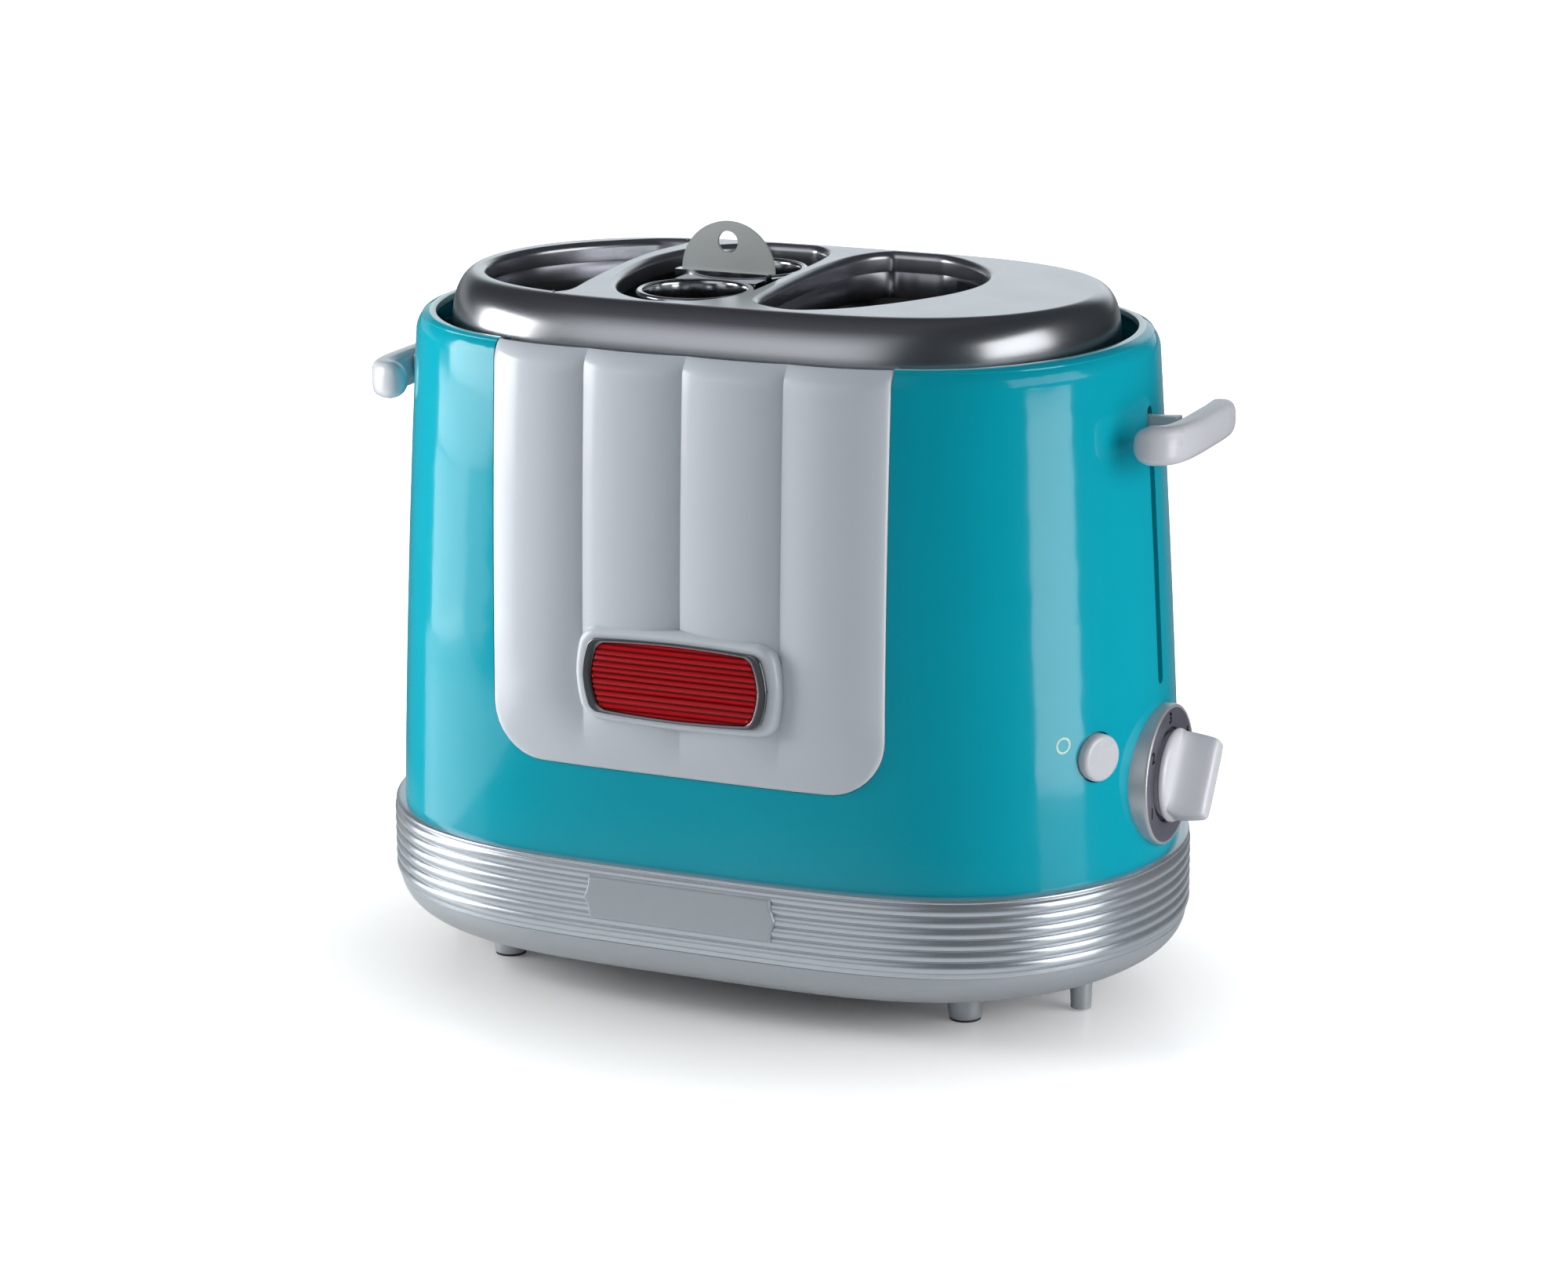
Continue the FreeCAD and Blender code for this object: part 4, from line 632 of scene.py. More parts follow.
# %% [markdown]
# ## The ribbed band
# Six level ribs run round the foot. The band is satin metal, and broken facets would show in every
# rib, so the outline is carried up over each rib in small round steps, over the soft top edge and
# down the inside. The openings for the crumb tray and the cord are cut with a box and a cylinder
# and a boolean, because they are plain sawn openings at the back, where a sharp edge is right.
# %% Carry the band over its ribs
band_low, band_high = 22.5, 48.0
band_x, band_y = 132.2, 80.2
rib_pitch, rib_height = 3.62, 0.9
levels = [(band_low, -0.4), (band_low + 0.15, -0.08), (band_low + 0.45, 0.0), (band_low + 1.6, 0.0)]
for index in range(6):
    low = band_low + 1.75 + rib_pitch * index
    levels += [(low + rib_pitch * share, rib_height * (1 - (2 * share - 1) ** 2) ** 0.62)
               for share in (0.02, 0.07, 0.15, 0.26, 0.38, 0.5, 0.62, 0.74, 0.85, 0.93, 0.98)]
levels += [(band_high - 1.75, 0.0), (band_high - 1.5, 0.34), (band_high - 1.1, 0.55),
           (band_high - 0.7, 0.5), (band_high - 0.35, 0.25), (band_high - 0.1, -0.25),
           (band_high, -0.9), (band_high, -4.6), (band_high - 0.4, -5.0), (band_low + 0.4, -5.0),
           (band_low, -4.6), (band_low, -0.4)]
band = carry("ribbed_band", [oval(band_x + out, band_y + out, z, count=240) for z, out in levels])
select(band, "EDIT")
turn_outwards(band, merge=WELD)
print("band carried through", len(levels), "levels")

# %% Cut the openings at the back
tray_place, tray_size = place(-20.0, 60.0, 28.5), Vector((120.8, 70.0, 8.6))
deselect()
bpy.ops.mesh.primitive_cube_add(size=1.0, location=tray_place)
tray_cutter = bpy.context.object
tray_cutter.scale = tray_size * MM
gland_low, gland_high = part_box("cord_gland")
cord_place, cord_radius = place(0, 60.0, 34.0), 5.5
cord_place.x = (gland_low.x + gland_high.x) / 2
deselect()
bpy.ops.mesh.primitive_cylinder_add(vertices=48, radius=cord_radius * MM, depth=60 * MM,
                                    location=cord_place, rotation=(math.radians(90), 0, 0))
for cutter in (tray_cutter, bpy.context.object):
    select(cutter)
    bpy.ops.object.transform_apply(location=True, rotation=True, scale=True)
    cut = band.modifiers.new("opening", "BOOLEAN")
    cut.operation = "DIFFERENCE"
    cut.solver = "EXACT"
    cut.object = cutter
    select(band)
    bpy.ops.object.modifier_apply(modifier="opening")
    select(cutter)
    bpy.ops.object.delete()
dress(band, band_silver, "housing", angle=38)
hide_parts("base_band")

# %% [markdown]
# ## The badge
# The badge sits on a raised boss of the panel: a dark steel frame with four bowed sides and a
# bright edge, round a red plate with fine level ribs. It carries no words. All of it is the same
# outline at different sizes and depths, so one rule gives the outline, and the boss, the frame and
# the plate are carried from ring to ring with a round at each edge.
# %% The badge's outline
badge_face = -wall_depth(0, badge_z)
badge_half_x, badge_half_z = 31.0, 12.5
side_bow, level_bow = 2.7, 1.0


def badge_ring(side_margin, level_margin, proud, radius=2.2):
    """Points on the bowed outline, grown or shrunk by margins and set proud of the wall."""
    half_x, half_z = badge_half_x + side_margin, badge_half_z + level_margin
    ring = []
    for sign_x, sign_z, first in ((1, 1, 0), (-1, 1, 90), (-1, -1, 180), (1, -1, 270)):
        for step in range(9):
            turn = math.radians(first + 90 * step / 8)
            ring.append((sign_x * (half_x - radius) + radius * math.cos(turn),
                         sign_z * (half_z - radius) + radius * math.sin(turn)))
        x, z = ring[-1]
        level = first in (0, 180)
        ring += [(x * across, z) if level else (x, z * across)
                 for across in (1 - 2 * (step / 14) for step in range(1, 14))]
    return [(x - math.copysign(side_bow * (z / half_z) ** 2, x) if x else 0.0, badge_face - proud,
             badge_z + z - math.copysign(level_bow * (x / half_x) ** 2, z)) for x, z in ring]


print("badge face at y =", round(badge_face, 2), "mm")

# %% Boss and frame
boss = carry("badge_boss", [badge_ring(*sizes) for sizes in (
    (3.9, 3.3, 0.4, 5.0), (3.6, 3.0, 1.7, 4.8), (3.3, 2.7, 2.7, 4.5), (2.8, 2.2, 3.5, 4.0),
    (2.2, 1.7, 3.95, 3.5), (1.4, 1.1, 4.15, 3.0), (0.4, 0.3, 4.2, 2.4), (-1.0, -1.0, 4.2, 2.0))],
    close_last=True)
dress(boss, panel_white, "housing", angle=40)
bezel = carry("badge_bezel", [badge_ring(*sizes) for sizes in (
    (0.1, 0.1, 3.9), (0.1, 0.1, 5.1), (-0.05, 0.0, 5.3), (-0.3, -0.15, 5.42), (-1.5, -0.5, 5.38),
    (-2.7, -0.85, 5.2), (-2.9, -0.95, 5.05), (-2.95, -1.0, 4.2))])
dress(bezel, bright_trim, "housing", angle=40)
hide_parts("badge_frame")

# %% The ribbed plate
plate = carry("badge_plate", [badge_ring(*sizes) for sizes in (
    (-2.9, -0.95, 3.9, 1.8), (-2.95, -1.0, 4.6, 1.8), (-3.3, -1.3, 4.8, 1.8),
    (-3.9, -1.8, 4.85, 1.8))], close_last=True)
select(plate, "EDIT")
for step in range(-11, 12):
    bpy.ops.mesh.select_all(action="SELECT")
    cut_z = (badge_z + badge_pitch * step / 2) * MM
    bpy.ops.mesh.bisect(plane_co=(0, 0, cut_z), plane_no=(0, 0, 1))
bpy.ops.object.mode_set(mode="OBJECT")
front = min(vert.co.y for vert in plate.data.vertices)
for vert in plate.data.vertices:
    step = (vert.co.z / MM - badge_z) * 2 / badge_pitch
    on_crest = abs(step - round(step)) < 0.02 and round(step) % 2 == 0
    if vert.co.y < front + 0.1 * MM and on_crest:
        vert.co.y -= 0.5 * MM
dress(plate, badge_red, "housing", angle=20)
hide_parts("badge_insert")

# %% [markdown]
# ## The printed ring
# A small cream ring is printed beside the button. A decal would need a picture, so it is a very
# thin band: a circle primitive is given an inner ring by extruding, and each corner point is laid
# on the wall. The wall turns away there, so the ring is narrower across than it is high.
# %% A ring on the wall
mark_x, mark_z, mark_across, mark_upright = 112.9, 92.7, 0.62, 1.06


def on_wall(radius, proud, count=48):
    """A ring of points on the curved wall beside the button."""
    ring = []
    for turn in full_turn(count):
        x = mark_x + radius * mark_across * math.cos(turn)
        z = mark_z + radius * mark_upright * math.sin(turn)
        ring.append((x, -wall_depth(x, z) - proud, z))
    return ring


mark = carry("printed_ring", [on_wall(2.42, -0.05), on_wall(2.42, 0.06), on_wall(1.86, 0.06),
                              on_wall(1.86, -0.05)])
dress(mark, mark_cream, "housing", angle=40)

# %% [markdown]
# ## Dial, numbers and knob
# The dial is a turned ring with a bright rim. A lathe makes it, and so does spin: one line of
# points, from the back edge over the rounded rim to the recess, is turned once round the knob's
# axis. The numbers are printed, so they are text, made a mesh and laid a tenth of a millimetre
# proud of the face.
# %% A helper that turns a line of points
def turned(name, profile, center, axis, steps=96):
    """Spin a line of points round an axis; the line is given as distance along and radius."""
    deselect()
    bpy.ops.mesh.primitive_plane_add(size=0.002, location=(0, 0, 0))
    obj = bpy.context.object
    obj.name = obj.data.name = name
    axis = Vector(axis).normalized()
    side = axis.orthogonal().normalized()
    bpy.ops.object.mode_set(mode="EDIT")
    mesh = bmesh.from_edit_mesh(obj.data)
    bmesh.ops.delete(mesh, geom=list(mesh.faces), context="FACES")
    middle = place(*center)
    chain = [mesh.verts.new(middle + axis * along * MM + side * radius * MM)
             for along, radius in profile]
    for first, second in zip(chain[:-1], chain[1:]):
        mesh.edges.new((first, second)).select_set(True)
    bmesh.update_edit_mesh(obj.data)
    bpy.ops.mesh.spin(steps=steps, angle=2 * math.pi, center=middle, axis=axis)
    turn_outwards(obj, merge=2 * WELD)
    return obj


# %% Turn the dial
dial_middle = dial_x, dial_y, dial_z = 131.2, -0.6, 73.3
bright_from = 21.15  # the rim is bright from this radius outwards
dial = turned("number_dial", [(-6.6, 16.0), (-6.6, 22.2), (-1.2, 22.2), (-0.6, 22.12), (-0.2, 21.9),
                              (0.0, 21.65), (0.04, 21.45), (-0.02, 21.25), (-0.15, 21.1),
                              (-0.15, 15.3), (-0.4, 14.9), (-1.0, 14.7), (-1.6, 14.7), (-1.6, 3.2)],
              dial_middle, (1, 0, 0))
dress(dial, dial_silver, "housing", angle=30)
dial.data.materials.append(rim_silver)
for face in dial.data.polygons:
    across, high = face.center.y - dial_y * MM, face.center.z - dial_z * MM
    if math.hypot(across, high) > bright_from * MM:
        face.material_index = 1
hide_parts("dial_ring")

# %% Print the numbers
number_high, number_radius = 4.9, 18.1
for number, turn in ((1, 208.0), (2, 149.5), (3, 91.0), (4, 32.0), (5, -27.0)):
    deselect()
    bpy.ops.object.text_add(location=(0, 0, 0))
    text = bpy.context.object
    text.name = f"dial_number_{number}"
    text.data.body = str(number)
    text.data.size = number_high * MM
    text.data.align_x = text.data.align_y = "CENTER"
    text.data.extrude = 0.06 * MM
    text.data.offset = 0.12 * MM
    bpy.ops.object.convert(target="MESH")
    label = bpy.context.object
    angle = math.radians(turn)
    spot = place(dial_x - 0.13, dial_y + number_radius * math.cos(angle),
                 dial_z + number_radius * math.sin(angle))
    for vert in label.data.vertices:
        across, high, proud = vert.co
        vert.co = spot + Vector((proud, across, high))
    select(label, "EDIT")
    turn_outwards(label)
    dress(label, mark_black, "housing", angle=30)

# %% [markdown]
# The knob is a soft disc with a grip bar across it. The disc is turned. The bar's sides sweep out
# where they meet the disc, and every edge is round because a hand feels it, so a soft rectangle is
# carried outwards from the disc through its narrowing sizes. Its long side is turned to where the
# knob points.
# %% The knob
knob_disc = turned("knob_disc", [(-1.1, 3.1), (-1.1, 13.2), (0.4, 13.4), (0.8, 14.2), (1.3, 14.65),
                                 (1.9, 14.7), (2.5, 14.4), (3.0, 13.9), (3.3, 13.2), (3.4, 12.2),
                                 (3.4, 0.0)], dial_middle, (1, 0, 0))
pointing, grip_softness = math.radians(56), 0.34
cos_k, sin_k = math.cos(pointing), math.sin(pointing)


def grip_ring(out, half_long, half_wide, count=64):
    """A soft rectangle across the knob's axis, turned to where the knob points."""
    ring = []
    for turn in full_turn(count):
        along = half_long * signed_power(math.cos(turn), grip_softness)
        wide = half_wide * signed_power(math.sin(turn), grip_softness)
        ring.append((dial_x + out, dial_y + along * cos_k - wide * sin_k,
                     dial_z + along * sin_k + wide * cos_k))
    return ring


grip = carry("knob_grip", [grip_ring(*size) for size in (
    (2.2, 13.3, 7.6), (3.4, 13.5, 6.6), (4.4, 13.6, 5.8), (5.6, 13.7, 5.2), (7.2, 13.6, 4.75),
    (9.2, 13.4, 4.4), (11.4, 13.15, 4.1), (12.8, 12.9, 3.85), (13.6, 12.6, 3.5), (14.1, 12.2, 3.05),
    (14.35, 11.6, 2.4), (14.4, 10.8, 1.6))], close_first=True, close_last=True)
dress(knob_disc, knob_grey, "knob")
dress(grip, knob_grey, "knob")
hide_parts("timer_knob")

# %% [markdown]
# ## The stop button
# The cap is turned too: a straight side, a round edge and a face that is slightly hollow for a
# fingertip. Its axis stands square to the curved wall.
# %% The button
button_place, out_of_wall = (119.784, -35.2, 87.0), (0.89718, -0.44167, 0)
button = turned("stop_cap", [(-7.6, 1.5), (-7.6, 7.35), (1.2, 7.4), (1.9, 7.2), (2.35, 6.75),
                             (2.58, 6.1), (2.6, 5.6), (2.5, 4.0), (2.42, 2.0), (2.4, 0.0)],
                button_place, out_of_wall, steps=72)
dress(button, lever_white, "button")
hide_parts("stop_button")

# %% [markdown]
# ## The lever handles
# A handle is a gently bowed bar that turns in towards the housing at its front end, and both ends
# are as round as a pill. A cube could be bevelled and curved, but its ends would stay blunt. So a
# rounded section is carried along the bar's middle line, and it shrinks towards each tip the way a
# ball does. The stem is a cube primitive that is drawn out and widened where it meets the bar.
# %% The bar's middle line
handle_low, handle_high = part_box("lever_handle_right")
handle_z = (handle_low.z + handle_high.z) / 2 / MM
bends = [Vector(point) for point in (
    (125.1, -19.8), (128.6, -20.3), (132.3, -19.7), (135.1, -17.0), (136.4, -11.5), (137.0, -4.0),
    (137.1, 6.0), (137.1, 14.0), (136.9, 22.0), (136.2, 31.2))]
led = bends[:1] + bends + bends[-1:]
middle_line = [bends[0]]
for four in zip(led, led[1:], led[2:], led[3:]):
    middle_line += [between(*four, step / 8) for step in range(1, 9)]
reach = [0.0]  # how far along the bar each point of the line is
for start, end in zip(middle_line, middle_line[1:]):
    reach.append(reach[-1] + (end - start).length)
arc = reach[-1]
print("the bar is", round(arc, 1), "mm long")

# %% The bar's sections
bar_half_high, bar_half_thick, bar_softness = 6.0, 4.2, 0.66
from_tip = [0.04, 0.2, 0.55, 1.05, 1.7, 2.5, 3.4, 4.4, 5.4, bar_half_high]
stations = (from_tip
            + [bar_half_high + (arc - 2 * bar_half_high) * step / 24 for step in range(1, 24)]
            + [arc - distance for distance in reversed(from_tip)])


def handle_ring(distance, half_thick, half_high, side, count=44):
    """A rounded section of the bar, square to its middle line at a distance from the front tip."""
    index = next(i for i in range(1, len(reach)) if reach[i] >= distance - 1e-9)
    start, end = middle_line[index - 1], middle_line[index]
    share = (distance - reach[index - 1]) / (reach[index] - reach[index - 1])
    earlier, later = middle_line[max(index - 2, 0)], middle_line[min(index + 1, len(reach) - 1)]
    outward = right_of((later - earlier).normalized())
    middle = start + (end - start) * share
    ring = []
    for turn in full_turn(count):
        point = middle + outward * half_thick * signed_power(math.cos(turn), bar_softness)
        ring.append((side * point.x, point.y,
                     handle_z + half_high * signed_power(math.sin(turn), bar_softness)))
    return ring


def rounded_off(half, end):
    """A half size that shrinks near the bar's end the way a ball does."""
    return half * math.sqrt(max(0.0, 1 - max(0.0, 1 - end / half) ** 2))


print(len(stations), "sections along the bar")

# %% Carry the section along the line, and add the stem
stem_middle, stem_end, stem_flare = 116.3, 132.2, 7.4
for side, name, node in ((1, "handle_bar_right", "lever_handle_right"),
                         (-1, "handle_bar_left", "lever_handle_left")):
    rings = []
    for station in stations:
        end = min(station, arc - station)
        rings.append(handle_ring(station, rounded_off(bar_half_thick, end),
                                 rounded_off(bar_half_high, end), side))
    bar = carry(name, rings, close_first=True, close_last=True)
    dress(bar, lever_white, "carriage", angle=50)
    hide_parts(node)
    deselect()
    bpy.ops.mesh.primitive_cube_add(size=1.0, location=(0, 0, 0))
    stem = bpy.context.object
    stem.name = name.replace("bar", "stem")
    stem.scale = (17.0 * MM, 2.8 * MM, 10.0 * MM)
    stem.location = place(side * stem_middle, 0, handle_z)
    bpy.ops.object.transform_apply(location=True, rotation=False, scale=True)
    bpy.ops.object.mode_set(mode="EDIT")
    pick(stem, "FACE", lambda face: face.normal.x * side > 0.9)
    bpy.ops.mesh.extrude_region_move(
        TRANSFORM_OT_translate={"value": (side * stem_flare * MM, 0, 0)})
    bpy.ops.transform.resize(value=(1, 2.0, 1.05),
                             center_override=place(side * stem_end, 0, handle_z))
    soft = stem.modifiers.new("soft", "BEVEL")
    soft.width = 0.5 * MM
    soft.segments = 3
    soft.limit_method = "ANGLE"
    soft.angle_limit = math.radians(50)
    select(stem)
    bpy.ops.object.modifier_apply(modifier="soft")
    dress(stem, lever_white, "carriage", angle=50)

# %% [markdown]
# ## The name plate
# The blank plate at the front has ends like braces, and its edge is bevelled so that the light
# catches it. The outline is drawn once, and it is carried from the seat to the front with small
# steps inwards.
# %% The plate
plate_low, plate_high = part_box("name_plate")
plate_face = plate_low.y / MM
plate_half = (plate_high.z / MM - plate_low.z / MM) / 2
plate_middle = (plate_low.z / MM + plate_high.z / MM) / 2
brace_half, brace_point = 31.0, 1.8


def brace_ring(margin, back):
    """The plate's outline with brace-shaped ends, drawn in by a margin and set back."""
    half_x, half_z = brace_half - margin, plate_half - margin
    ring = []
    for side in (1, -1):
        for step in range(-12, 13):
            share = side * step / 12
            ring.append((side * (half_x + brace_point * (1 - abs(share)) ** 2), plate_face + back,
                         plate_middle + share * half_z))
        ring += [(side * half_x * across, plate_face + back, plate_middle + side * half_z)
                 for across in (0.8, 0.6, 0.3, 0.0, -0.3, -0.6, -0.8)]
    return ring


blank = carry("blank_plate", [brace_ring(margin, back) for margin, back in (
    (0.0, 2.6), (0.0, 0.75), (0.12, 0.4), (0.4, 0.1), (0.75, 0.0), (1.0, 0.0))], close_last=True)
dress(blank, plate_silver, "housing", angle=25)
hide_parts("name_plate")

# %% [markdown]
# ## The sausage cage
# Each of the two holes has a rolled steel rim. A torus would do for the roll, but not for the wall
# that turns down into the basket, so one line over the roll and down the inside is spun round the
# hole.
# %% The rims
hole_x, hole_y, hole_z = -20.8, 20.6, 219.0
for name, y in (("cage_rim_front", -hole_y), ("cage_rim_rear", hole_y)):
    rim = turned(name, [(-5.0, 16.4), (-1.2, 16.4), (-0.5, 16.55), (0.05, 17.0), (0.25, 17.6),
                        (0.1, 18.15), (-0.4, 18.5), (-1.1, 18.6), (-1.8, 18.5), (-2.0, 18.0),
                        (-1.6, 17.4), (-1.5, 16.9), (-5.0, 16.8), (-5.0, 16.4)],
                 (hole_x, y, hole_z), (0, 0, 1), steps=80)
    dress(rim, cage_steel, "sausage_cage", angle=45)

# %% [markdown]
# ## The feet
# The four feet are turned plastic cones with a soft lower edge. They are one shape, so one is
# turned and copied, and each copy has its own mesh.
# %% Turn one foot and copy it
foot = turned("foot_a", [(16.0, 0.0), (16.0, 6.2), (3.0, 5.4), (1.2, 5.2), (0.7, 4.95), (0.45, 4.5),
                         (0.4, 0.0)], (0, 0, 0), (0, 0, 1), steps=48)
foot_x, foot_y = 79.8, 42.7
for name, x, y in (("foot_front_left", -foot_x, -foot_y), ("foot_front_right", foot_x, -foot_y),
                   ("foot_rear_left", -foot_x, foot_y), ("foot_rear_right", foot_x, foot_y)):
    select(foot)
    bpy.ops.object.duplicate(linked=False)
    copy = bpy.context.object
    copy.name = name
    bpy.ops.object.mode_set(mode="EDIT")
    bpy.ops.mesh.select_all(action="SELECT")
    bpy.ops.transform.translate(value=(x * MM, y * MM, 0))
    dress(copy, base_silver, "housing", angle=40)
select(foot)
bpy.ops.object.delete()
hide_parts("feet")

# %% [markdown]
# ## Floor, room, lamps and camera
# The toaster stands on a pale floor that runs out into plain white. The floor could simply be lit
# until it is white, but then the toaster would be too bright as well. So it keeps a normal pale
# colour, and only the camera's own rays find a white glow on it that grows with the distance from
# the toaster. Near the feet the glow is weak, so the shadow stays. Far out the floor is dark for
# the mirror-like rays, like the room past the edge of a table.
# %% The floor
def fade(tree, start, end, most=1.0):
    """A soft step from nothing at the start to the most at the end."""
    return add_node(tree, "MapRange", {"From Min": start, "From Max": end, "To Max": most},
                    interpolation_type="SMOOTHSTEP")


deselect()
bpy.ops.mesh.primitive_plane_add(size=8.0, location=(0, 0, 0))
floor = bpy.context.object
floor.name = "studio_floor"
floor_finish = bpy.data.materials.new("pale_floor")
floor_finish.use_nodes = True
tree = floor_finish.node_tree
shader = tree.nodes["Principled BSDF"]
shader.inputs["Roughness"].default_value = 0.3
shader.inputs["Specular IOR Level"].default_value = 0.45
where = add_node(tree, "TexCoord")
rays = add_node(tree, "LightPath")
flatten = add_node(tree, "Mapping", {"Scale": (0.68, 0.95, 1.0), "Location": (0.008, 0.03, 0.0)})
glow_distance = add_node(tree, "VectorMath", operation="LENGTH")
glow_fade = fade(tree, 0.03, 0.205)
glow_share = add_node(tree, "Math", operation="MULTIPLY")
table_distance = add_node(tree, "VectorMath", operation="LENGTH")
table_fade = fade(tree, 0.13, 0.33)
table_share = add_node(tree, "Math", operation="MULTIPLY")
table_color = add_node(tree, "Mix", {6: (0.86, 0.85, 0.85, 1), 7: (0.06, 0.06, 0.065, 1)},
                       data_type="RGBA")
glow = add_node(tree, "Emission")
total = add_node(tree, "AddShader")
link(tree, (where, "Object", table_distance, 0), (table_distance, "Value", table_fade, "Value"),
     (table_fade, "Result", table_share, 0), (rays, "Is Glossy Ray", table_share, 1),
     (table_share, 0, table_color, 0), (table_color, 2, shader, "Base Color"),
     (where, "Object", flatten, "Vector"), (flatten, "Vector", glow_distance, 0),
     (glow_distance, "Value", glow_fade, "Value"), (glow_fade, "Result", glow_share, 0),
     (rays, "Is Camera Ray", glow_share, 1), (glow_share, 0, glow, "Strength"),
     (shader, 0, total, 0), (glow, 0, total, 1),
     (total, 0, tree.nodes["Material Output"], "Surface"))
floor.data.materials.append(floor_finish)
print("floor laid,", floor.dimensions.x, "m wide")

# %% [markdown]
# The room is plain white for the camera. Polished steel shows what is round it, so the mirror-like
# rays see a room with a pale wall low in front, a dark ceiling, and a white sweep low behind. A
# colour ramp over the angle from the front horizon, over the top, to the rear horizon draws that
# room. Two fades darken it on the right and on the far left, so that the rounded ends of the
# toaster keep dark edges.
# %% The room
world = bpy.data.worlds.new("white_room")
bpy.context.scene.world = world
world.use_nodes = True
tree = world.node_tree
ambient = tree.nodes["Background"]
ambient.inputs["Color"].default_value = (0.88, 0.96, 1.0, 1)
ambient.inputs["Strength"].default_value = 0.31
mirrored = add_node(tree, "Background")
white = add_node(tree, "Background", {"Color": (1, 1, 1, 1), "Strength": 1.0})
direction = add_node(tree, "TexCoord")
rays = add_node(tree, "LightPath")
split = add_node(tree, "SeparateXYZ")
forward = add_node(tree, "Math", {1: -1.0}, operation="MULTIPLY")
angle = add_node(tree, "Math", operation="ARCTAN2")
turn_share = add_node(tree, "Math", {1: math.pi}, operation="DIVIDE")
arch = add_node(tree, "ValToRGB")
stops = [(0.0, (0.05, 0.05, 0.055)), (0.03, (0.70, 0.72, 0.74)), (0.16, (0.70, 0.72, 0.74)),
         (0.27, (0.42, 0.43, 0.45)), (0.38, (0.10, 0.10, 0.11)), (0.84, (0.03, 0.03, 0.04)),
         (0.885, (0.86, 0.94, 0.97)), (1.0, (0.92, 0.97, 1.0))]
while len(arch.color_ramp.elements) < len(stops):
    arch.color_ramp.elements.new(0.5)
for element, (position, color) in zip(arch.color_ramp.elements, stops):
    element.position = position
    element.color = (*color, 1.0)
right_fade = fade(tree, -0.12, 0.22)
left_fade = fade(tree, -0.5, -0.66, most=0.72)
both_sides = add_node(tree, "Math", operation="MAXIMUM")
side_shade = add_node(tree, "Mix", {7: (0.04, 0.045, 0.05, 1)}, data_type="RGBA")
seen = add_node(tree, "Math", operation="MAXIMUM")
for_mirrors = add_node(tree, "MixShader")
for_camera = add_node(tree, "MixShader")
link(tree, (direction, "Generated", split, 0), (split, "Y", forward, 0), (split, "Z", angle, 0),
     (forward, 0, angle, 1), (angle, 0, turn_share, 0), (turn_share, 0, arch, "Fac"),
     (arch, "Color", side_shade, 6), (split, "X", right_fade, "Value"),
     (split, "X", left_fade, "Value"), (right_fade, "Result", both_sides, 0),
     (left_fade, "Result", both_sides, 1), (both_sides, 0, side_shade, 0),
     (side_shade, 2, mirrored, "Color"), (rays, "Is Camera Ray", seen, 0),
     (rays, "Is Transmission Ray", seen, 1), (rays, "Is Glossy Ray", for_mirrors, 0),
     (ambient, 0, for_mirrors, 1), (mirrored, 0, for_mirrors, 2), (seen, 0, for_camera, 0),
     (for_mirrors, 0, for_camera, 1), (white, 0, for_camera, 2),
     (for_camera, 0, tree.nodes["World Output"], "Surface"))
print("room with", len(stops), "stops")

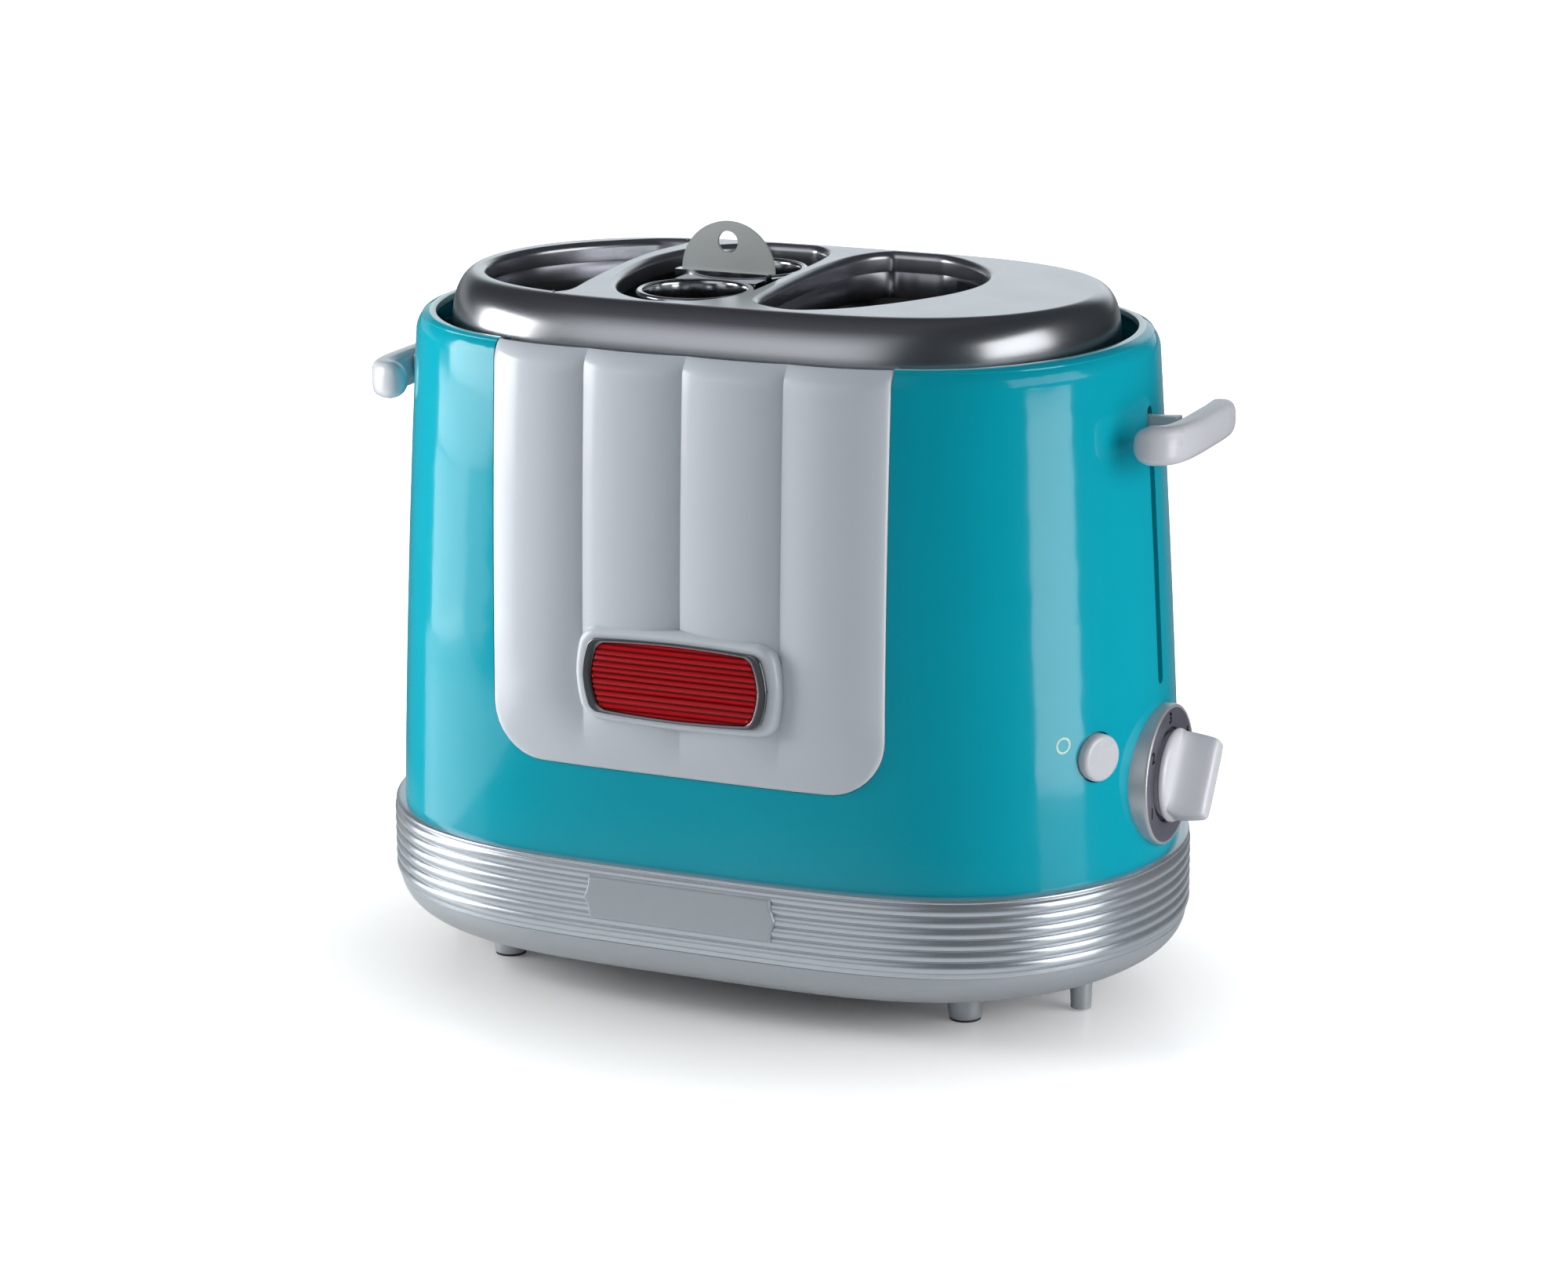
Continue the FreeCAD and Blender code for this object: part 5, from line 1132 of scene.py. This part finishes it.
# %% [markdown]
# The key light on the left is a stack of soft boxes close to the housing. The lower rows are
# weaker, and one more low row fades it out towards the front, so its reflection in the paint is
# bright above and thins out below. A close strip on the right draws the upright highlight beside
# the lever, and a wide box shines over it. Three fills far off light the paint and aren't mirrored
# in it. A card that lies on the floor on the left shines upwards. Each box is placed by its
# compass angle from a point on the housing, so that its edges fall where they should on the paint.
# %% The lamps
def softbox(name, center, azimuth, half_angle, distance, low_z, high_z, radiance, mirrored=True):
    """An upright soft box that faces a point; azimuth is in degrees from the front to the right."""
    turn = math.radians(azimuth)
    width = 2 * distance * math.tan(math.radians(half_angle))
    height = high_z - low_z
    lamp = bpy.data.lights.new(name, "AREA")
    lamp.shape = "RECTANGLE"
    lamp.size = width
    lamp.size_y = height
    lamp.energy = radiance * math.pi * width * height
    obj = bpy.data.objects.new(name, lamp)
    bpy.context.scene.collection.objects.link(obj)
    toward = Vector((math.sin(turn), -math.cos(turn), 0))
    obj.location = (Vector((center[0], center[1], 0)) + toward * distance
                    + Vector((0, 0, (low_z + high_z) / 2)))
    obj.rotation_euler = (-toward).to_track_quat("-Z", "Y").to_euler()
    obj.visible_camera = False
    obj.visible_glossy = mirrored
    return obj


left_point = place(-92, -64, 0)
right_point = place(116, -40, 0)
zero = Vector((0, 0, 0))
softbox("key_left_low", left_point, -81, 15, 0.45, 0.01, 0.098, 2.6)
softbox("key_left_low_fade", left_point, -60, 6, 0.45, 0.01, 0.098, 1.5)
softbox("key_left_middle", left_point, -74, 20, 0.45, 0.10, 0.138, 3.4)
softbox("key_left_high", left_point, -68, 16, 0.45, 0.14, 0.42, 5.8)
softbox("strip_right", right_point, 82.5, 15, 0.3, 0.004, 0.176, 3.6)
softbox("box_right", right_point, 84, 24, 0.8, 0.26, 0.75, 1.7)
fill_left = softbox("fill_left", zero, -76, 14, 1.5, 0.15, 1.0, 9.3, mirrored=False)
fill_left.data.color = (1.0, 1.0, 0.96)
softbox("fill_right", zero, 98, 14, 1.5, 0.15, 0.9, 4.5, mirrored=False)
softbox("fill_front", zero, -30, 12, 1.8, 0.5, 1.2, 1.2, mirrored=False)
card = softbox("card_left", zero, -90, 20, 0.5, 0.0, 0.30, 1.2)
card.location = place(-430, -145, 3)
card.rotation_euler = (math.pi, 0, math.radians(-12))

# %% [markdown]
# The camera is a long lens a good way off, as for a catalogue, so that upright edges hardly lean.
# It is set by the three directions of its own axes, because that fixes the tilt and the turn at
# once.
# %% The camera
camera_data = bpy.data.cameras.new("camera")
camera_data.lens = 100.09
camera_data.sensor_width = 36.0
camera = bpy.data.objects.new("camera", camera_data)
bpy.context.scene.collection.objects.link(camera)
right = Vector((0.91003, 0.41447, -0.00790))
up = Vector((-0.10013, 0.23826, 0.96603))
back = Vector((0.40227, -0.87832, 0.25832))
facing = Matrix((right, up, back)).transposed().to_4x4()
camera_place = place(562.414, -1229.499, 463.300)
camera.matrix_world = Matrix.Translation(camera_place) @ facing
bpy.context.scene.camera = camera
bpy.context.scene.view_settings.view_transform = "Standard"
print("camera at", tuple(round(value, 4) for value in camera.location))
